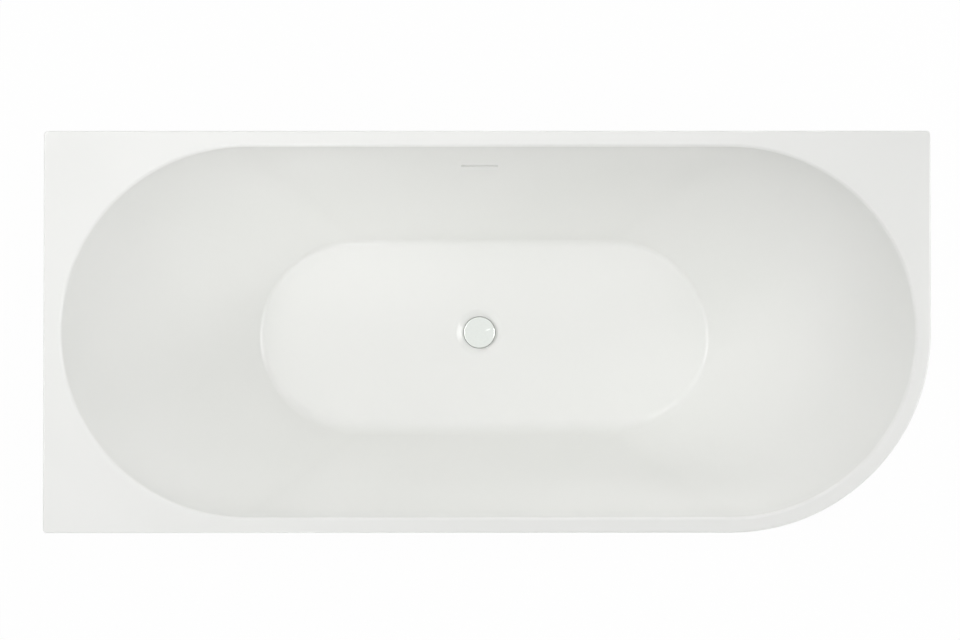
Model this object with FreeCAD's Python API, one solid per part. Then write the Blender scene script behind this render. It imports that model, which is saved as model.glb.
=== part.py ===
"""Corner bathtub with two wall sides and a curved front corner, as separate pieces.

Millimetres. X runs along the tub to the right, Y runs to the back wall and Z runs up.
The origin lies on the room floor, under the middle of the tub.
"""

import FreeCAD
import Part

import math
import os

from FreeCAD import Placement, Rotation, Vector

# Whole tub
LENGTH = 1700.0
WIDTH = 770.0
UNDER_SPACE = 150.0  # from the room floor up to the basin floor
BASIN_DEPTH = 430.0

# Rim, a flat band whose outer edge turns down
RIM_WIDTH = 30.0  # along the front, the back and the right end
RIM_WIDTH_LEFT = 34.0
RIM_DROP = 30.0  # height of the turned-down edge
RIM_CORNER_RADIUS = 7.0  # in plan, at the three square corners
RIM_INNER_CORNER_RADIUS = 2.0  # the same, inside the turned-down edge
RIM_EDGE_RADIUS = 3.5
BASIN_LIP_RADIUS = 7.0

# Basin walls and floor
ACRYLIC = 5.0
FIBRE_LAYER = 2.5
FIBRE_TOP_DROP = 26.0  # from the rim down to the upper edge of the fibre layer
WALL_RUN_LEFT = 323.5  # how far each wall comes in between the lip and the floor
WALL_RUN_RIGHT = 337.5
WALL_RUN_FRONT = 143.0
WALL_RUN_BACK = 157.0
FLOOR_ROLL = 18.0  # radius between the walls and the floor
WALL_CURVE = 1.3  # 1 is a straight wall, more is steeper at the top and flatter below
LOFT_STEPS = 4

# Waste in the basin floor
WASTE_X = -15.0
WASTE_Y = 0.0
DISH_RADIUS = 51.0
DISH_FLAT_RADIUS = 37.0
DISH_DEPTH = 4.0
DISH_ROLL = 20.0  # radius at the upper and the lower edge of the dish
WASTE_HOLE_RADIUS = 26.0
FLANGE_RADIUS = 32.0
FLANGE_THICKNESS = 2.0
FLANGE_SEAL_THICKNESS = 1.0
BODY_SEAL_THICKNESS = 4.0
THROAT_RADIUS = 23.5
THROAT_WALL = 3.0
THROAT_LENGTH = 31.0
SPOKE_COUNT = 4
SPOKE_WIDTH = 3.0
SPOKE_HEIGHT = 5.0
HUB_RADIUS = 7.0
BODY_FLANGE_RADIUS = 40.0
BODY_FLANGE_THICKNESS = 6.0
BODY_WALL = 3.0
BODY_CHAMBER_RADIUS = 27.0
BODY_CHAMBER_HEIGHT = 46.0
TAIL_RADIUS = 23.9
TAIL_BORE_RADIUS = 20.0
TAIL_LENGTH = 22.0
COLLAR_FLATS = 66.0  # across the flats of the spanner collar
COLLAR_HEIGHT = 8.0

# Push cap and its cartridge
CAP_RADIUS = 34.0
CAP_THICKNESS = 4.0
CAP_DOME = 2.0
CAP_EDGE_RADIUS = 1.8
CAP_SKIRT = 3.0  # how far the edge of the cap hangs below its underside
CAP_SKIRT_WALL = 1.4
CAP_SEAL_RADIUS = 29.0
CAP_SEAL_WIDTH = 5.0
CAP_SEAL_THICKNESS = 1.8
STUD_RADIUS = 3.4
STUD_HEAD_RADIUS = 5.5
STUD_HEAD_HEIGHT = 3.0
SLEEVE_RADIUS = 8.0
SLEEVE_WALL = 1.6
SLEEVE_HUB_GAP = 3.0  # from the hub up to the sleeve when the cap is shut
SPRING_WIRE_RADIUS = 0.5
SPRING_RADIUS = 4.9
SPRING_TURNS = 8
STUD_TOP_GAP = 6.0  # from the stud up to the cap when it is shut

# Overflow in the back wall
SLOT_WIDTH = 74.0
SLOT_HEIGHT = 7.0
SLOT_DROP = 108.0  # from the rim down to the middle of the slot
COLLECTOR_WIDTH = 112.0
COLLECTOR_HEIGHT = 50.0
COLLECTOR_DEPTH = 37.5
COLLECTOR_WALL = 3.0
COLLECTOR_FLANGE = 9.0
COLLECTOR_CORNER_RADIUS = 8.0
COLLECTOR_GASKET = 3.0
COLLECTOR_BOND_BORDER = 6.0  # bare acrylic kept around the collector flange
PIPE_RADIUS = 14.0
PIPE_WALL = 1.6
PIPE_BEND_RADIUS = 105.0
PIPE_DEPTH_IN_SOCKET = 25.0
SOCKET_WALL = 2.5
SOCKET_LENGTH = 40.0
INLET_LENGTH = 75.0  # from the waste axis to the mouth of the side inlet
UNION_LENGTH = 21.0
UNION_WALL = 3.0
UNION_END_WALL = 3.0
UNION_RIB_COUNT = 10
UNION_RIB_WIDTH = 5.0
UNION_RIB_HEIGHT = 1.5
CONE_SEAL_LENGTH = 4.0
UNION_WALL_GAP = 2.0  # from the upper union nut to the back of the acrylic
UNION_BOARD_GAP = 4.0  # from the lower union nut up to the baseboard

# Apron on the front and the right end
APRON_THICKNESS = 5.0
APRON_TAPER = 55.0  # how far its foot stands in from its top
APRON_FLOOR_GAP = 5.0
APRON_RETURN = 30.0  # width of the edges turned in along the walls
APRON_CORNER_RADIUS = 6.0
BATTEN_HEIGHT = 50.0
BATTEN_THICKNESS = 20.0
BATTEN_FLOOR_GAP = 10.0
BATTEN_END_GAP = 12.0

# Baseboard and legs
BOARD_THICKNESS = 15.0
BOARD_INSET = 30.0  # from the edge of the basin floor
BOARD_WASTE_RADIUS = 62.0
BAR_WIDTH = 40.0
BAR_HEIGHT = 25.0
BAR_WALL = 2.5
BAR_BEND_RADIUS = 2.0  # inside its two bends
BAR_INSET = 57.0  # from the end of the baseboard to the middle of a bar
BAR_PAST_FOOT = 55.0  # from a back foot to the end of its bar
FOOT_WALL_GAP = 9.0  # from a stud to the fibre layer beside it
FOOT_STUD_RADIUS = 6.0
FOOT_STUD_ABOVE_BAR = 38.0
FOOT_NUT_FLATS = 19.0
FOOT_NUT_HEIGHT = 10.0
PAD_RADIUS = 25.0
PAD_TOP_RADIUS = 13.0
PAD_BASE_HEIGHT = 5.0
PAD_HEIGHT = 18.0
PAD_FLOOR = 6.0  # material left under the stud
PAD_EDGE_RADIUS = 1.5
BAR_SCREW_EDGE = 28.0  # from the edge of the board to the outer screws
BAR_SCREW_PITCH = 55.0
BAR_SCREW_DEPTH = 11.0
SCREW_RADIUS = 2.4
SCREW_HEAD_RADIUS = 4.8
SCREW_HEAD_HEIGHT = 2.6
BRACKET_WIDTH = 30.0
BRACKET_THICKNESS = 3.0
BRACKET_LENGTH = 24.0
BRACKET_SCREW_PITCH = 24.0
BRACKET_SCREW_DEPTH = 14.0

# Clearances
BOND_GAP = 0.3  # adhesive between glued pieces
RUN_GAP = 0.3  # around pieces that slide or screw
SEAL_GAP = 0.2

# Heights and places worked out from the sizes
RIM_Z = UNDER_SPACE + BASIN_DEPTH
DISH_Z = UNDER_SPACE - DISH_DEPTH
FLANGE_Z = DISH_Z + FLANGE_SEAL_THICKNESS + FLANGE_THICKNESS
CAP_Z = FLANGE_Z + SEAL_GAP + CAP_SEAL_THICKNESS
BODY_Z = DISH_Z - ACRYLIC - BODY_SEAL_THICKNESS
THROAT_END_Z = FLANGE_Z - THROAT_LENGTH
HUB_Z = THROAT_END_Z + SPOKE_HEIGHT
CHAMBER_TOP_Z = BODY_Z - BODY_FLANGE_THICKNESS
TAIL_TOP_Z = CHAMBER_TOP_Z - BODY_CHAMBER_HEIGHT - BODY_WALL
SOCKET_BORE_RADIUS = PIPE_RADIUS + RUN_GAP
SOCKET_RADIUS = SOCKET_BORE_RADIUS + SOCKET_WALL
UNION_RADIUS = SOCKET_RADIUS + RUN_GAP + UNION_WALL
BOARD_TOP_Z = UNDER_SPACE - ACRYLIC - BOND_GAP - FIBRE_LAYER - BOND_GAP
BAR_TOP_Z = BOARD_TOP_Z - BOARD_THICKNESS
BAR_WEB_Z = BAR_TOP_Z - BAR_WALL
INLET_Z = BAR_TOP_Z - UNION_BOARD_GAP - UNION_RIB_HEIGHT - UNION_RADIUS
APRON_TOP_Z = RIM_Z - ACRYLIC - BOND_GAP
APRON_SETBACK = ACRYLIC + BOND_GAP  # from the rim's outer edge to the top of the apron
LIP_SIDES = {
    "left": -LENGTH / 2 + RIM_WIDTH_LEFT,
    "right": LENGTH / 2 - RIM_WIDTH,
    "front": -WIDTH / 2 + RIM_WIDTH,
    "back": WIDTH / 2 - RIM_WIDTH,
}
FLOOR_SIDES = {
    "left": LIP_SIDES["left"] + WALL_RUN_LEFT,
    "right": LIP_SIDES["right"] - WALL_RUN_RIGHT,
    "front": LIP_SIDES["front"] + WALL_RUN_FRONT,
    "back": LIP_SIDES["back"] - WALL_RUN_BACK,
}
FLOOR_CENTRE_X = (FLOOR_SIDES["left"] + FLOOR_SIDES["right"]) / 2
FLOOR_CENTRE_Y = (FLOOR_SIDES["front"] + FLOOR_SIDES["back"]) / 2
BOARD_RADIUS = (FLOOR_SIDES["back"] - FLOOR_SIDES["front"]) / 2 - BOARD_INSET
BOARD_HALF_LENGTH = (FLOOR_SIDES["right"] - FLOOR_SIDES["left"]) / 2 - BOARD_INSET
OUTWARD = {"left": -1, "right": 1, "front": -1, "back": 1}
TOUCHING = 0.001  # distance below which two edges count as one


# Plain solids


def block(x_from, x_to, y_from, y_to, z_from, z_to):
    """Box between two corners."""
    return Part.makeBox(x_to - x_from, y_to - y_from, z_to - z_from, Vector(x_from, y_from, z_from))


def disc(radius, z_from, z_to, x=WASTE_X, y=WASTE_Y):
    """Upright cylinder, on the waste axis unless a place is given."""
    return Part.makeCylinder(radius, z_to - z_from, Vector(x, y, z_from))


def ring(outer, inner, z_from, z_to, x=WASTE_X, y=WASTE_Y):
    """Upright tube, on the waste axis unless a place is given."""
    return disc(outer, z_from, z_to, x, y).cut(disc(inner, z_from, z_to, x, y))


def hexagon(flats, z_from, z_to, x=WASTE_X, y=WASTE_Y):
    """Upright six-sided prism measured across its flats."""
    radius = flats / math.sqrt(3)
    corners = [math.radians(60 * step) for step in range(7)]
    points = [Vector(x + radius * math.cos(a), y + radius * math.sin(a), z_from) for a in corners]
    return Part.Face(Part.makePolygon(points)).extrude(Vector(0, 0, z_to - z_from))


def turned(outline, x=WASTE_X, y=WASTE_Y):
    """Solid of revolution about an upright axis, from (radius, height) points."""
    points = [Vector(x + radius, y, z) for radius, z in outline]
    face = Part.Face(Part.makePolygon(points + points[:1]))
    return face.revolve(Vector(x, y, 0), Vector(0, 0, 1), 360)


def joined(first, *others):
    """One solid from touching or overlapping solids."""
    return first.multiFuse(list(others)).removeSplitter()


def edges_along_y(edges):
    """Those of the edges that run along Y."""
    return [edge for edge in edges if abs(edge.tangentAt(edge.FirstParameter).y) > 0.5]


def edges_at_height(shape, z):
    """Edges that lie in a level plane."""
    return [
        edge
        for edge in shape.Edges
        if all(abs(vertex.Point.z - z) < TOUCHING for vertex in edge.Vertexes)
        and abs(edge.CenterOfMass.z - z) < TOUCHING
    ]


def upright_edges(shape, corners):
    """Edges that leave the level plane at any of the given corners."""
    return [
        edge
        for edge in shape.Edges
        if any(edge.distToShape(Part.Vertex(corner))[0] < TOUCHING for corner in corners)
        and abs(edge.Vertexes[0].Point.z - edge.Vertexes[1].Point.z) > TOUCHING
    ]


def save(name, shape):
    """Write one piece, after a look at its solids."""
    if not shape.isValid() or not shape.Solids:
        raise ValueError(f"{name} is not a sound solid")
    print(f"{name}: {len(shape.Solids)} solid, {shape.Volume / 1000:.1f} cm3")
    shape.exportStep(f"parts/{name}.step")


# Basin, rim and the fibre layer under them


def stadium(sides, z):
    """Level wire of two straight sides and two half circles."""
    radius = (sides["back"] - sides["front"]) / 2
    middle = (sides["back"] + sides["front"]) / 2
    west = sides["left"] + radius
    east = sides["right"] - radius
    front_west = Vector(west, sides["front"], z)
    front_east = Vector(east, sides["front"], z)
    back_east = Vector(east, sides["back"], z)
    back_west = Vector(west, sides["back"], z)
    return Part.Wire(
        [
            Part.makeLine(front_west, front_east),
            Part.Arc(front_east, Vector(sides["right"], middle, z), back_east).toShape(),
            Part.makeLine(back_east, back_west),
            Part.Arc(back_west, Vector(sides["left"], middle, z), front_west).toShape(),
        ]
    )


def wall_slope(side, depth):
    """How far a basin wall moves sideways for each millimetre of depth."""
    run = FLOOR_SIDES[side] - LIP_SIDES[side]
    return run * WALL_CURVE * (depth / BASIN_DEPTH) ** (WALL_CURVE - 1) / BASIN_DEPTH


def wall_place(side, depth, grow):
    """Where a basin wall, thickened outwards by grow, stands at a depth below the rim."""
    run = FLOOR_SIDES[side] - LIP_SIDES[side]
    surface = LIP_SIDES[side] + run * (depth / BASIN_DEPTH) ** WALL_CURVE
    return surface + OUTWARD[side] * grow * math.hypot(1, wall_slope(side, depth))


def basin_section(depth, grow):
    """Level outline of the basin, thickened outwards by grow."""
    sides = {side: wall_place(side, depth, grow) for side in OUTWARD}
    return stadium(sides, RIM_Z - depth)


def basin_solid(grow, top_depth):
    """The basin as a filled form, thickened outwards by grow."""
    bottom_depth = BASIN_DEPTH + grow
    step = (bottom_depth - top_depth) / LOFT_STEPS
    sections = [basin_section(top_depth + step * index, grow) for index in range(LOFT_STEPS + 1)]
    form = Part.makeLoft(sections, True, False)
    return form.makeFillet(FLOOR_ROLL + grow, edges_at_height(form, RIM_Z - bottom_depth))


def corner_outline(setback, front_taper, z):
    """Level wire of the tub's plan, with three square corners and one round, and the square corners.

    setback moves every side in, front_taper only the front and the right end.
    """
    left = -LENGTH / 2 + setback
    right = LENGTH / 2 - setback - front_taper
    front = -WIDTH / 2 + setback + front_taper
    back = WIDTH / 2 - setback
    large = WIDTH / 2 - setback - front_taper
    half = math.sqrt(0.5)
    turn = Vector(right - large, front + large, z)
    arc_start = Vector(turn.x, front, z)
    arc_end = Vector(right, turn.y, z)
    arc_middle = Vector(turn.x + large * half, turn.y - large * half, z)
    back_right = Vector(right, back, z)
    back_left = Vector(left, back, z)
    front_left = Vector(left, front, z)
    wire = Part.Wire(
        [
            Part.makeLine(front_left, arc_start),
            Part.Arc(arc_start, arc_middle, arc_end).toShape(),
            Part.makeLine(arc_end, back_right),
            Part.makeLine(back_right, back_left),
            Part.makeLine(back_left, front_left),
        ]
    )
    return wire, [back_right, back_left, front_left]


def rim_prism(setback, corner_radius, z_from, z_to):
    """The tub's plan as a prism with its three square corners rounded."""
    wire, corners = corner_outline(setback, 0, z_from)
    prism = Part.Face(wire).extrude(Vector(0, 0, z_to - z_from))
    return prism.makeFillet(corner_radius, upright_edges(prism, corners))


def overflow_frame():
    """Placement of the overflow: X along the wall, Y out of its back and Z up along it."""
    lean = math.degrees(math.atan(-wall_slope("back", SLOT_DROP)))
    centre = Vector(WASTE_X, wall_place("back", SLOT_DROP, ACRYLIC), RIM_Z - SLOT_DROP)
    return Placement(centre, Rotation(Vector(1, 0, 0), -lean))


def slot_cutter():
    """Level slot with round ends, long enough to pass the back wall."""
    reach = COLLECTOR_DEPTH
    back = wall_place("back", SLOT_DROP, 0)
    half = SLOT_WIDTH / 2 - SLOT_HEIGHT / 2
    z = RIM_Z - SLOT_DROP
    ends = [
        Part.makeCylinder(SLOT_HEIGHT / 2, 2 * reach, Vector(x, back - reach, z), Vector(0, 1, 0))
        for x in (WASTE_X - half, WASTE_X + half)
    ]
    middle = block(
        WASTE_X - half, WASTE_X + half, back - reach, back + reach, z - SLOT_HEIGHT / 2, z + SLOT_HEIGHT / 2
    )
    return joined(middle, *ends)


def bath_shell():
    """Acrylic basin with its rim, the turned-down edge, the waste dish and the overflow slot."""
    rim = rim_prism(0, RIM_CORNER_RADIUS, RIM_Z - RIM_DROP, RIM_Z)
    rim = rim.makeFillet(RIM_EDGE_RADIUS, edges_at_height(rim, RIM_Z))
    rim = rim.cut(rim_prism(ACRYLIC, RIM_INNER_CORNER_RADIUS, RIM_Z - RIM_DROP, RIM_Z - ACRYLIC))
    dish_boss = disc(DISH_RADIUS + ACRYLIC, DISH_Z - ACRYLIC, DISH_Z)
    body = joined(rim, basin_solid(ACRYLIC, ACRYLIC / 2), dish_boss)
    body = body.cut(basin_solid(0, 0))
    lip = basin_section(0, 0)
    lip_edges = [edge for edge in edges_at_height(body, RIM_Z) if edge.distToShape(lip)[0] < TOUCHING]
    body = body.makeFillet(BASIN_LIP_RADIUS, lip_edges)
    dish = turned(
        [
            (0, DISH_Z),
            (DISH_FLAT_RADIUS, DISH_Z),
            (DISH_RADIUS, UNDER_SPACE),
            (0, UNDER_SPACE),
        ]
    )
    body = body.cut(dish)
    brims = [
        Part.Circle(Vector(WASTE_X, WASTE_Y, z), Vector(0, 0, 1), radius).toShape()
        for radius, z in ((DISH_FLAT_RADIUS, DISH_Z), (DISH_RADIUS, UNDER_SPACE))
    ]
    dish_edges = [
        edge
        for edge in edges_at_height(body, DISH_Z) + edges_at_height(body, UNDER_SPACE)
        if any(edge.distToShape(brim)[0] < TOUCHING for brim in brims)
    ]
    body = body.makeFillet(DISH_ROLL, dish_edges)
    waste_hole = disc(WASTE_HOLE_RADIUS, DISH_Z - ACRYLIC, DISH_Z)
    return body.cut(waste_hole).cut(slot_cutter())


def shell_backing():
    """Glass-fibre layer under the basin, with windows for the waste and the overflow."""
    inside = ACRYLIC + BOND_GAP
    layer = basin_solid(inside + FIBRE_LAYER, FIBRE_TOP_DROP).cut(basin_solid(inside, FIBRE_TOP_DROP))
    layer = layer.cut(disc(BOARD_WASTE_RADIUS, 0, UNDER_SPACE))
    half_width = COLLECTOR_WIDTH / 2 + COLLECTOR_FLANGE + COLLECTOR_BOND_BORDER
    half_height = COLLECTOR_HEIGHT / 2 + COLLECTOR_FLANGE + COLLECTOR_BOND_BORDER
    window = block(-half_width, half_width, -COLLECTOR_DEPTH, COLLECTOR_DEPTH, -half_height, half_height)
    window.Placement = overflow_frame()
    return layer.cut(window)


# Waste with its push cap


def waste_flange():
    """Flange in the dish, with the throat tube, the spokes and the hub of the cartridge."""
    bore = THROAT_RADIUS - THROAT_WALL
    body = turned(
        [
            (bore, THROAT_END_Z),
            (THROAT_RADIUS, THROAT_END_Z),
            (THROAT_RADIUS, FLANGE_Z - FLANGE_THICKNESS),
            (FLANGE_RADIUS, FLANGE_Z - FLANGE_THICKNESS),
            (FLANGE_RADIUS, FLANGE_Z),
            (bore + THROAT_WALL / 2, FLANGE_Z),
            (bore, FLANGE_Z - THROAT_WALL / 2),
        ]
    )
    reach = bore + THROAT_WALL / 2
    spokes = []
    for index in range(SPOKE_COUNT):
        spoke = block(0, reach, -SPOKE_WIDTH / 2, SPOKE_WIDTH / 2, 0, SPOKE_HEIGHT)
        turn = Rotation(Vector(0, 0, 1), 360 * (index + 0.5) / SPOKE_COUNT)
        spoke.Placement = Placement(Vector(WASTE_X, WASTE_Y, THROAT_END_Z), turn)
        spokes.append(spoke)
    hub = disc(HUB_RADIUS, THROAT_END_Z, HUB_Z)
    stud_hole = disc(STUD_RADIUS + RUN_GAP, THROAT_END_Z, HUB_Z)
    return joined(body, hub, *spokes).cut(stud_hole)


def waste_body():
    """Outlet body with its clamping flange, side inlet, spanner collar and tail."""
    chamber_bottom = TAIL_TOP_Z + BODY_WALL
    outside = BODY_CHAMBER_RADIUS + BODY_WALL
    form = turned(
        [
            (0, BODY_Z),
            (BODY_FLANGE_RADIUS, BODY_Z),
            (BODY_FLANGE_RADIUS, CHAMBER_TOP_Z),
            (outside, CHAMBER_TOP_Z),
            (outside, chamber_bottom),
            (TAIL_RADIUS + BODY_WALL, TAIL_TOP_Z),
            (TAIL_RADIUS, TAIL_TOP_Z),
            (TAIL_RADIUS, TAIL_TOP_Z - TAIL_LENGTH),
            (0, TAIL_TOP_Z - TAIL_LENGTH),
        ]
    )
    collar = hexagon(COLLAR_FLATS, chamber_bottom, chamber_bottom + COLLAR_HEIGHT)
    inlet_start = Vector(WASTE_X, WASTE_Y, INLET_Z)
    along = Vector(0, 1, 0)
    inlet = Part.makeCylinder(SOCKET_RADIUS, INLET_LENGTH, inlet_start, along)
    form = joined(form, collar, inlet)
    hollow = turned(
        [
            (0, BODY_Z),
            (THROAT_RADIUS + RUN_GAP, BODY_Z),
            (THROAT_RADIUS + RUN_GAP, CHAMBER_TOP_Z),
            (BODY_CHAMBER_RADIUS, CHAMBER_TOP_Z),
            (BODY_CHAMBER_RADIUS, chamber_bottom),
            (TAIL_BORE_RADIUS, chamber_bottom),
            (TAIL_BORE_RADIUS, TAIL_TOP_Z - TAIL_LENGTH),
            (0, TAIL_TOP_Z - TAIL_LENGTH),
        ]
    )
    inlet_bore = Part.makeCylinder(PIPE_RADIUS - PIPE_WALL, INLET_LENGTH, inlet_start, along)
    seat = Vector(WASTE_X, WASTE_Y + INLET_LENGTH - PIPE_DEPTH_IN_SOCKET - RUN_GAP, INLET_Z)
    inlet_socket = Part.makeCylinder(SOCKET_BORE_RADIUS, PIPE_DEPTH_IN_SOCKET + RUN_GAP, seat, along)
    return form.cut(hollow).cut(inlet_bore).cut(inlet_socket)


def waste_cap():
    """Domed cap whose edge hangs over the flange."""
    top = CAP_Z + CAP_THICKNESS
    sphere = (CAP_RADIUS**2 + CAP_DOME**2) / (2 * CAP_DOME)
    half_rise = CAP_DOME - (sphere - math.sqrt(sphere**2 - CAP_RADIUS**2 / 4))
    skirt_inside = CAP_RADIUS - CAP_SKIRT_WALL
    apex = Vector(WASTE_X, WASTE_Y, top + CAP_DOME)
    shoulder = Vector(WASTE_X + CAP_RADIUS, WASTE_Y, top)
    halfway = Vector(WASTE_X + CAP_RADIUS / 2, WASTE_Y, top + half_rise)
    corners = [
        (CAP_RADIUS, top),
        (CAP_RADIUS, CAP_Z - CAP_SKIRT),
        (skirt_inside, CAP_Z - CAP_SKIRT),
        (skirt_inside, CAP_Z),
        (0, CAP_Z),
        (0, top + CAP_DOME),
    ]
    points = [Vector(WASTE_X + radius, WASTE_Y, z) for radius, z in corners]
    outline = Part.Wire([Part.Arc(apex, halfway, shoulder).toShape()] + Part.makePolygon(points).Edges)
    cap = Part.Face(outline).revolve(Vector(WASTE_X, WASTE_Y, 0), Vector(0, 0, 1), 360)
    return cap.makeFillet(CAP_EDGE_RADIUS, edges_at_height(cap, top))


def biarc(start, start_way, end, end_way):
    """Two arcs that join two points in given directions without a kink."""
    reach = end - start
    ways = start_way + end_way
    spread = 2 * (1 - start_way.dot(end_way))
    along = reach.dot(ways)
    handle = (math.sqrt(along**2 + spread * reach.dot(reach)) - along) / spread
    middle = (start + end + (start_way - end_way) * handle) * 0.5
    arcs = []
    for low, high, corner in (
        (start, middle, start + start_way * handle),
        (middle, end, end - end_way * handle),
    ):
        chord_middle = (low + high) * 0.5
        lean = (high - low).Length / 2 / handle
        crown = chord_middle + (corner - chord_middle) * (lean / (1 + lean))
        arcs.append(Part.Arc(low, crown, high).toShape())
    return arcs


def cartridge_spring():
    """Compression spring of one unbroken wire, from the hub up to the cap."""
    bottom = HUB_Z + SPRING_WIRE_RADIUS + SEAL_GAP
    rise = CAP_Z - SPRING_WIRE_RADIUS - SEAL_GAP - bottom
    quarter = math.pi / 2
    lead = rise / (SPRING_TURNS * 4 * quarter)

    def place(angle):
        return Vector(
            WASTE_X + SPRING_RADIUS * math.cos(angle),
            WASTE_Y + SPRING_RADIUS * math.sin(angle),
            bottom + lead * angle,
        )

    def way(angle):
        return Vector(-SPRING_RADIUS * math.sin(angle), SPRING_RADIUS * math.cos(angle), lead).normalize()

    arcs = []
    for index in range(SPRING_TURNS * 4):
        low = index * quarter
        arcs += biarc(place(low), way(low), place(low + quarter), way(low + quarter))
    print(f"cartridge_spring: least gap to itself {rise / SPRING_TURNS - 2 * SPRING_WIRE_RADIUS:.2f} mm")
    shell = Part.BRepOffsetAPI.MakePipeShell(Part.Wire(arcs))
    shell.add(Part.Wire(Part.Circle(place(0), way(0), SPRING_WIRE_RADIUS).toShape()))
    shell.build()
    shell.makeSolid()
    return shell.shape()


def cartridge_stud():
    """Fixed pin of the cartridge, with its head under the hub."""
    head = disc(STUD_HEAD_RADIUS, THROAT_END_Z - STUD_HEAD_HEIGHT, THROAT_END_Z)
    return joined(head, disc(STUD_RADIUS, THROAT_END_Z, CAP_Z - STUD_TOP_GAP))


# Overflow


def rounded_plate(width, height, y_from, y_to, radius):
    """Plate in the overflow's own frame, with rounded corners."""
    plate = block(-width / 2, width / 2, y_from, y_to, -height / 2, height / 2)
    return plate.makeFillet(radius, edges_along_y(plate.Edges))


def overflow_box():
    """Collector behind the slot, open to the wall, with a pipe socket below."""
    front = COLLECTOR_GASKET
    flange = rounded_plate(
        COLLECTOR_WIDTH + 2 * COLLECTOR_FLANGE,
        COLLECTOR_HEIGHT + 2 * COLLECTOR_FLANGE,
        front,
        front + COLLECTOR_WALL,
        COLLECTOR_CORNER_RADIUS,
    )
    case = rounded_plate(
        COLLECTOR_WIDTH, COLLECTOR_HEIGHT, front, front + COLLECTOR_DEPTH, COLLECTOR_CORNER_RADIUS
    )
    back_edges = [edge for edge in case.Edges if edge.BoundBox.YMin > front + COLLECTOR_DEPTH - TOUCHING]
    case = case.makeFillet(COLLECTOR_WALL, back_edges)
    hollow = rounded_plate(
        COLLECTOR_WIDTH - 2 * COLLECTOR_WALL,
        COLLECTOR_HEIGHT - 2 * COLLECTOR_WALL,
        front,
        front + COLLECTOR_DEPTH - COLLECTOR_WALL,
        COLLECTOR_CORNER_RADIUS - COLLECTOR_WALL,
    )
    mouth = socket_mouth()
    top = Vector(0, mouth.y, -COLLECTOR_HEIGHT / 2 + COLLECTOR_WALL)
    down = Vector(0, 0, -1)
    socket = Part.makeCylinder(SOCKET_RADIUS, (top - mouth).Length, top, down)
    bore = Part.makeCylinder(PIPE_RADIUS - PIPE_WALL, (top - mouth).Length, top, down)
    seat = mouth + Vector(0, 0, PIPE_DEPTH_IN_SOCKET + RUN_GAP)
    pocket = Part.makeCylinder(SOCKET_BORE_RADIUS, PIPE_DEPTH_IN_SOCKET + RUN_GAP, seat, down)
    form = joined(flange, case, socket).cut(hollow).cut(bore).cut(pocket)
    form.Placement = overflow_frame()
    return form


def socket_mouth():
    """Mouth of the collector's pipe socket, in the overflow's own frame."""
    outwards = UNION_WALL_GAP + UNION_RIB_HEIGHT + UNION_RADIUS
    return Vector(0, outwards, -COLLECTOR_HEIGHT / 2 - SOCKET_LENGTH)


def overflow_gasket():
    """Ring between the collector and the wall, shaped by the wall's curve."""
    outer = rounded_plate(
        COLLECTOR_WIDTH + 2 * COLLECTOR_FLANGE,
        COLLECTOR_HEIGHT + 2 * COLLECTOR_FLANGE,
        -COLLECTOR_GASKET,
        COLLECTOR_GASKET,
        COLLECTOR_CORNER_RADIUS,
    )
    inner = rounded_plate(
        COLLECTOR_WIDTH - 2 * COLLECTOR_WALL,
        COLLECTOR_HEIGHT - 2 * COLLECTOR_WALL,
        -COLLECTOR_GASKET,
        COLLECTOR_GASKET,
        COLLECTOR_CORNER_RADIUS - COLLECTOR_WALL,
    )
    gasket = outer.cut(inner)
    gasket.Placement = overflow_frame()
    return gasket.cut(basin_solid(ACRYLIC + SEAL_GAP, ACRYLIC))


def pipe_route():
    """Ends of the overflow pipe in their sockets, and the corner between its two runs."""
    frame = overflow_frame()
    mouth = frame.multVec(socket_mouth())
    down = frame.Rotation.multVec(Vector(0, 0, -1))
    inlet = Vector(WASTE_X, WASTE_Y + INLET_LENGTH, INLET_Z)
    towards_inlet = Vector(0, -1, 0)
    corner = mouth + down * ((INLET_Z - mouth.z) / down.z)
    start = mouth - down * PIPE_DEPTH_IN_SOCKET
    end = inlet + towards_inlet * PIPE_DEPTH_IN_SOCKET
    return start, down, corner, towards_inlet, end


def overflow_pipe():
    """Bent pipe from the collector down to the side inlet of the waste."""
    start, down, corner, level, end = pipe_route()
    half_turn = down.getAngle(level) / 2
    tangent = PIPE_BEND_RADIUS * math.tan(half_turn)
    bend_start = corner - down * tangent
    bend_end = corner + level * tangent
    inwards = ((bend_start + bend_end) * 0.5 - corner).normalize()
    bend_middle = corner + inwards * (PIPE_BEND_RADIUS / math.cos(half_turn) - PIPE_BEND_RADIUS)
    path = Part.Wire(
        [
            Part.makeLine(start, bend_start),
            Part.Arc(bend_start, bend_middle, bend_end).toShape(),
            Part.makeLine(bend_end, end),
        ]
    )
    rims = [Part.Wire(Part.Circle(start, down, r).toShape()) for r in (PIPE_RADIUS, PIPE_RADIUS - PIPE_WALL)]
    outside, inside = [path.makePipeShell([rim], True, False) for rim in rims]
    return outside.cut(inside)


def on_pipe_ends(shape):
    """Copies of a fitting made about +Z, at the two socket mouths, +Z away from the socket."""
    start, down, _, level, end = pipe_route()
    places = [
        Placement(start + down * PIPE_DEPTH_IN_SOCKET, Rotation(Vector(0, 0, 1), down)),
        Placement(end - level * PIPE_DEPTH_IN_SOCKET, Rotation(Vector(0, 0, 1), level * -1)),
    ]
    copies = []
    for place in places:
        copy = shape.copy()
        copy.Placement = place
        copies.append(copy)
    return Part.makeCompound(copies)


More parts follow.
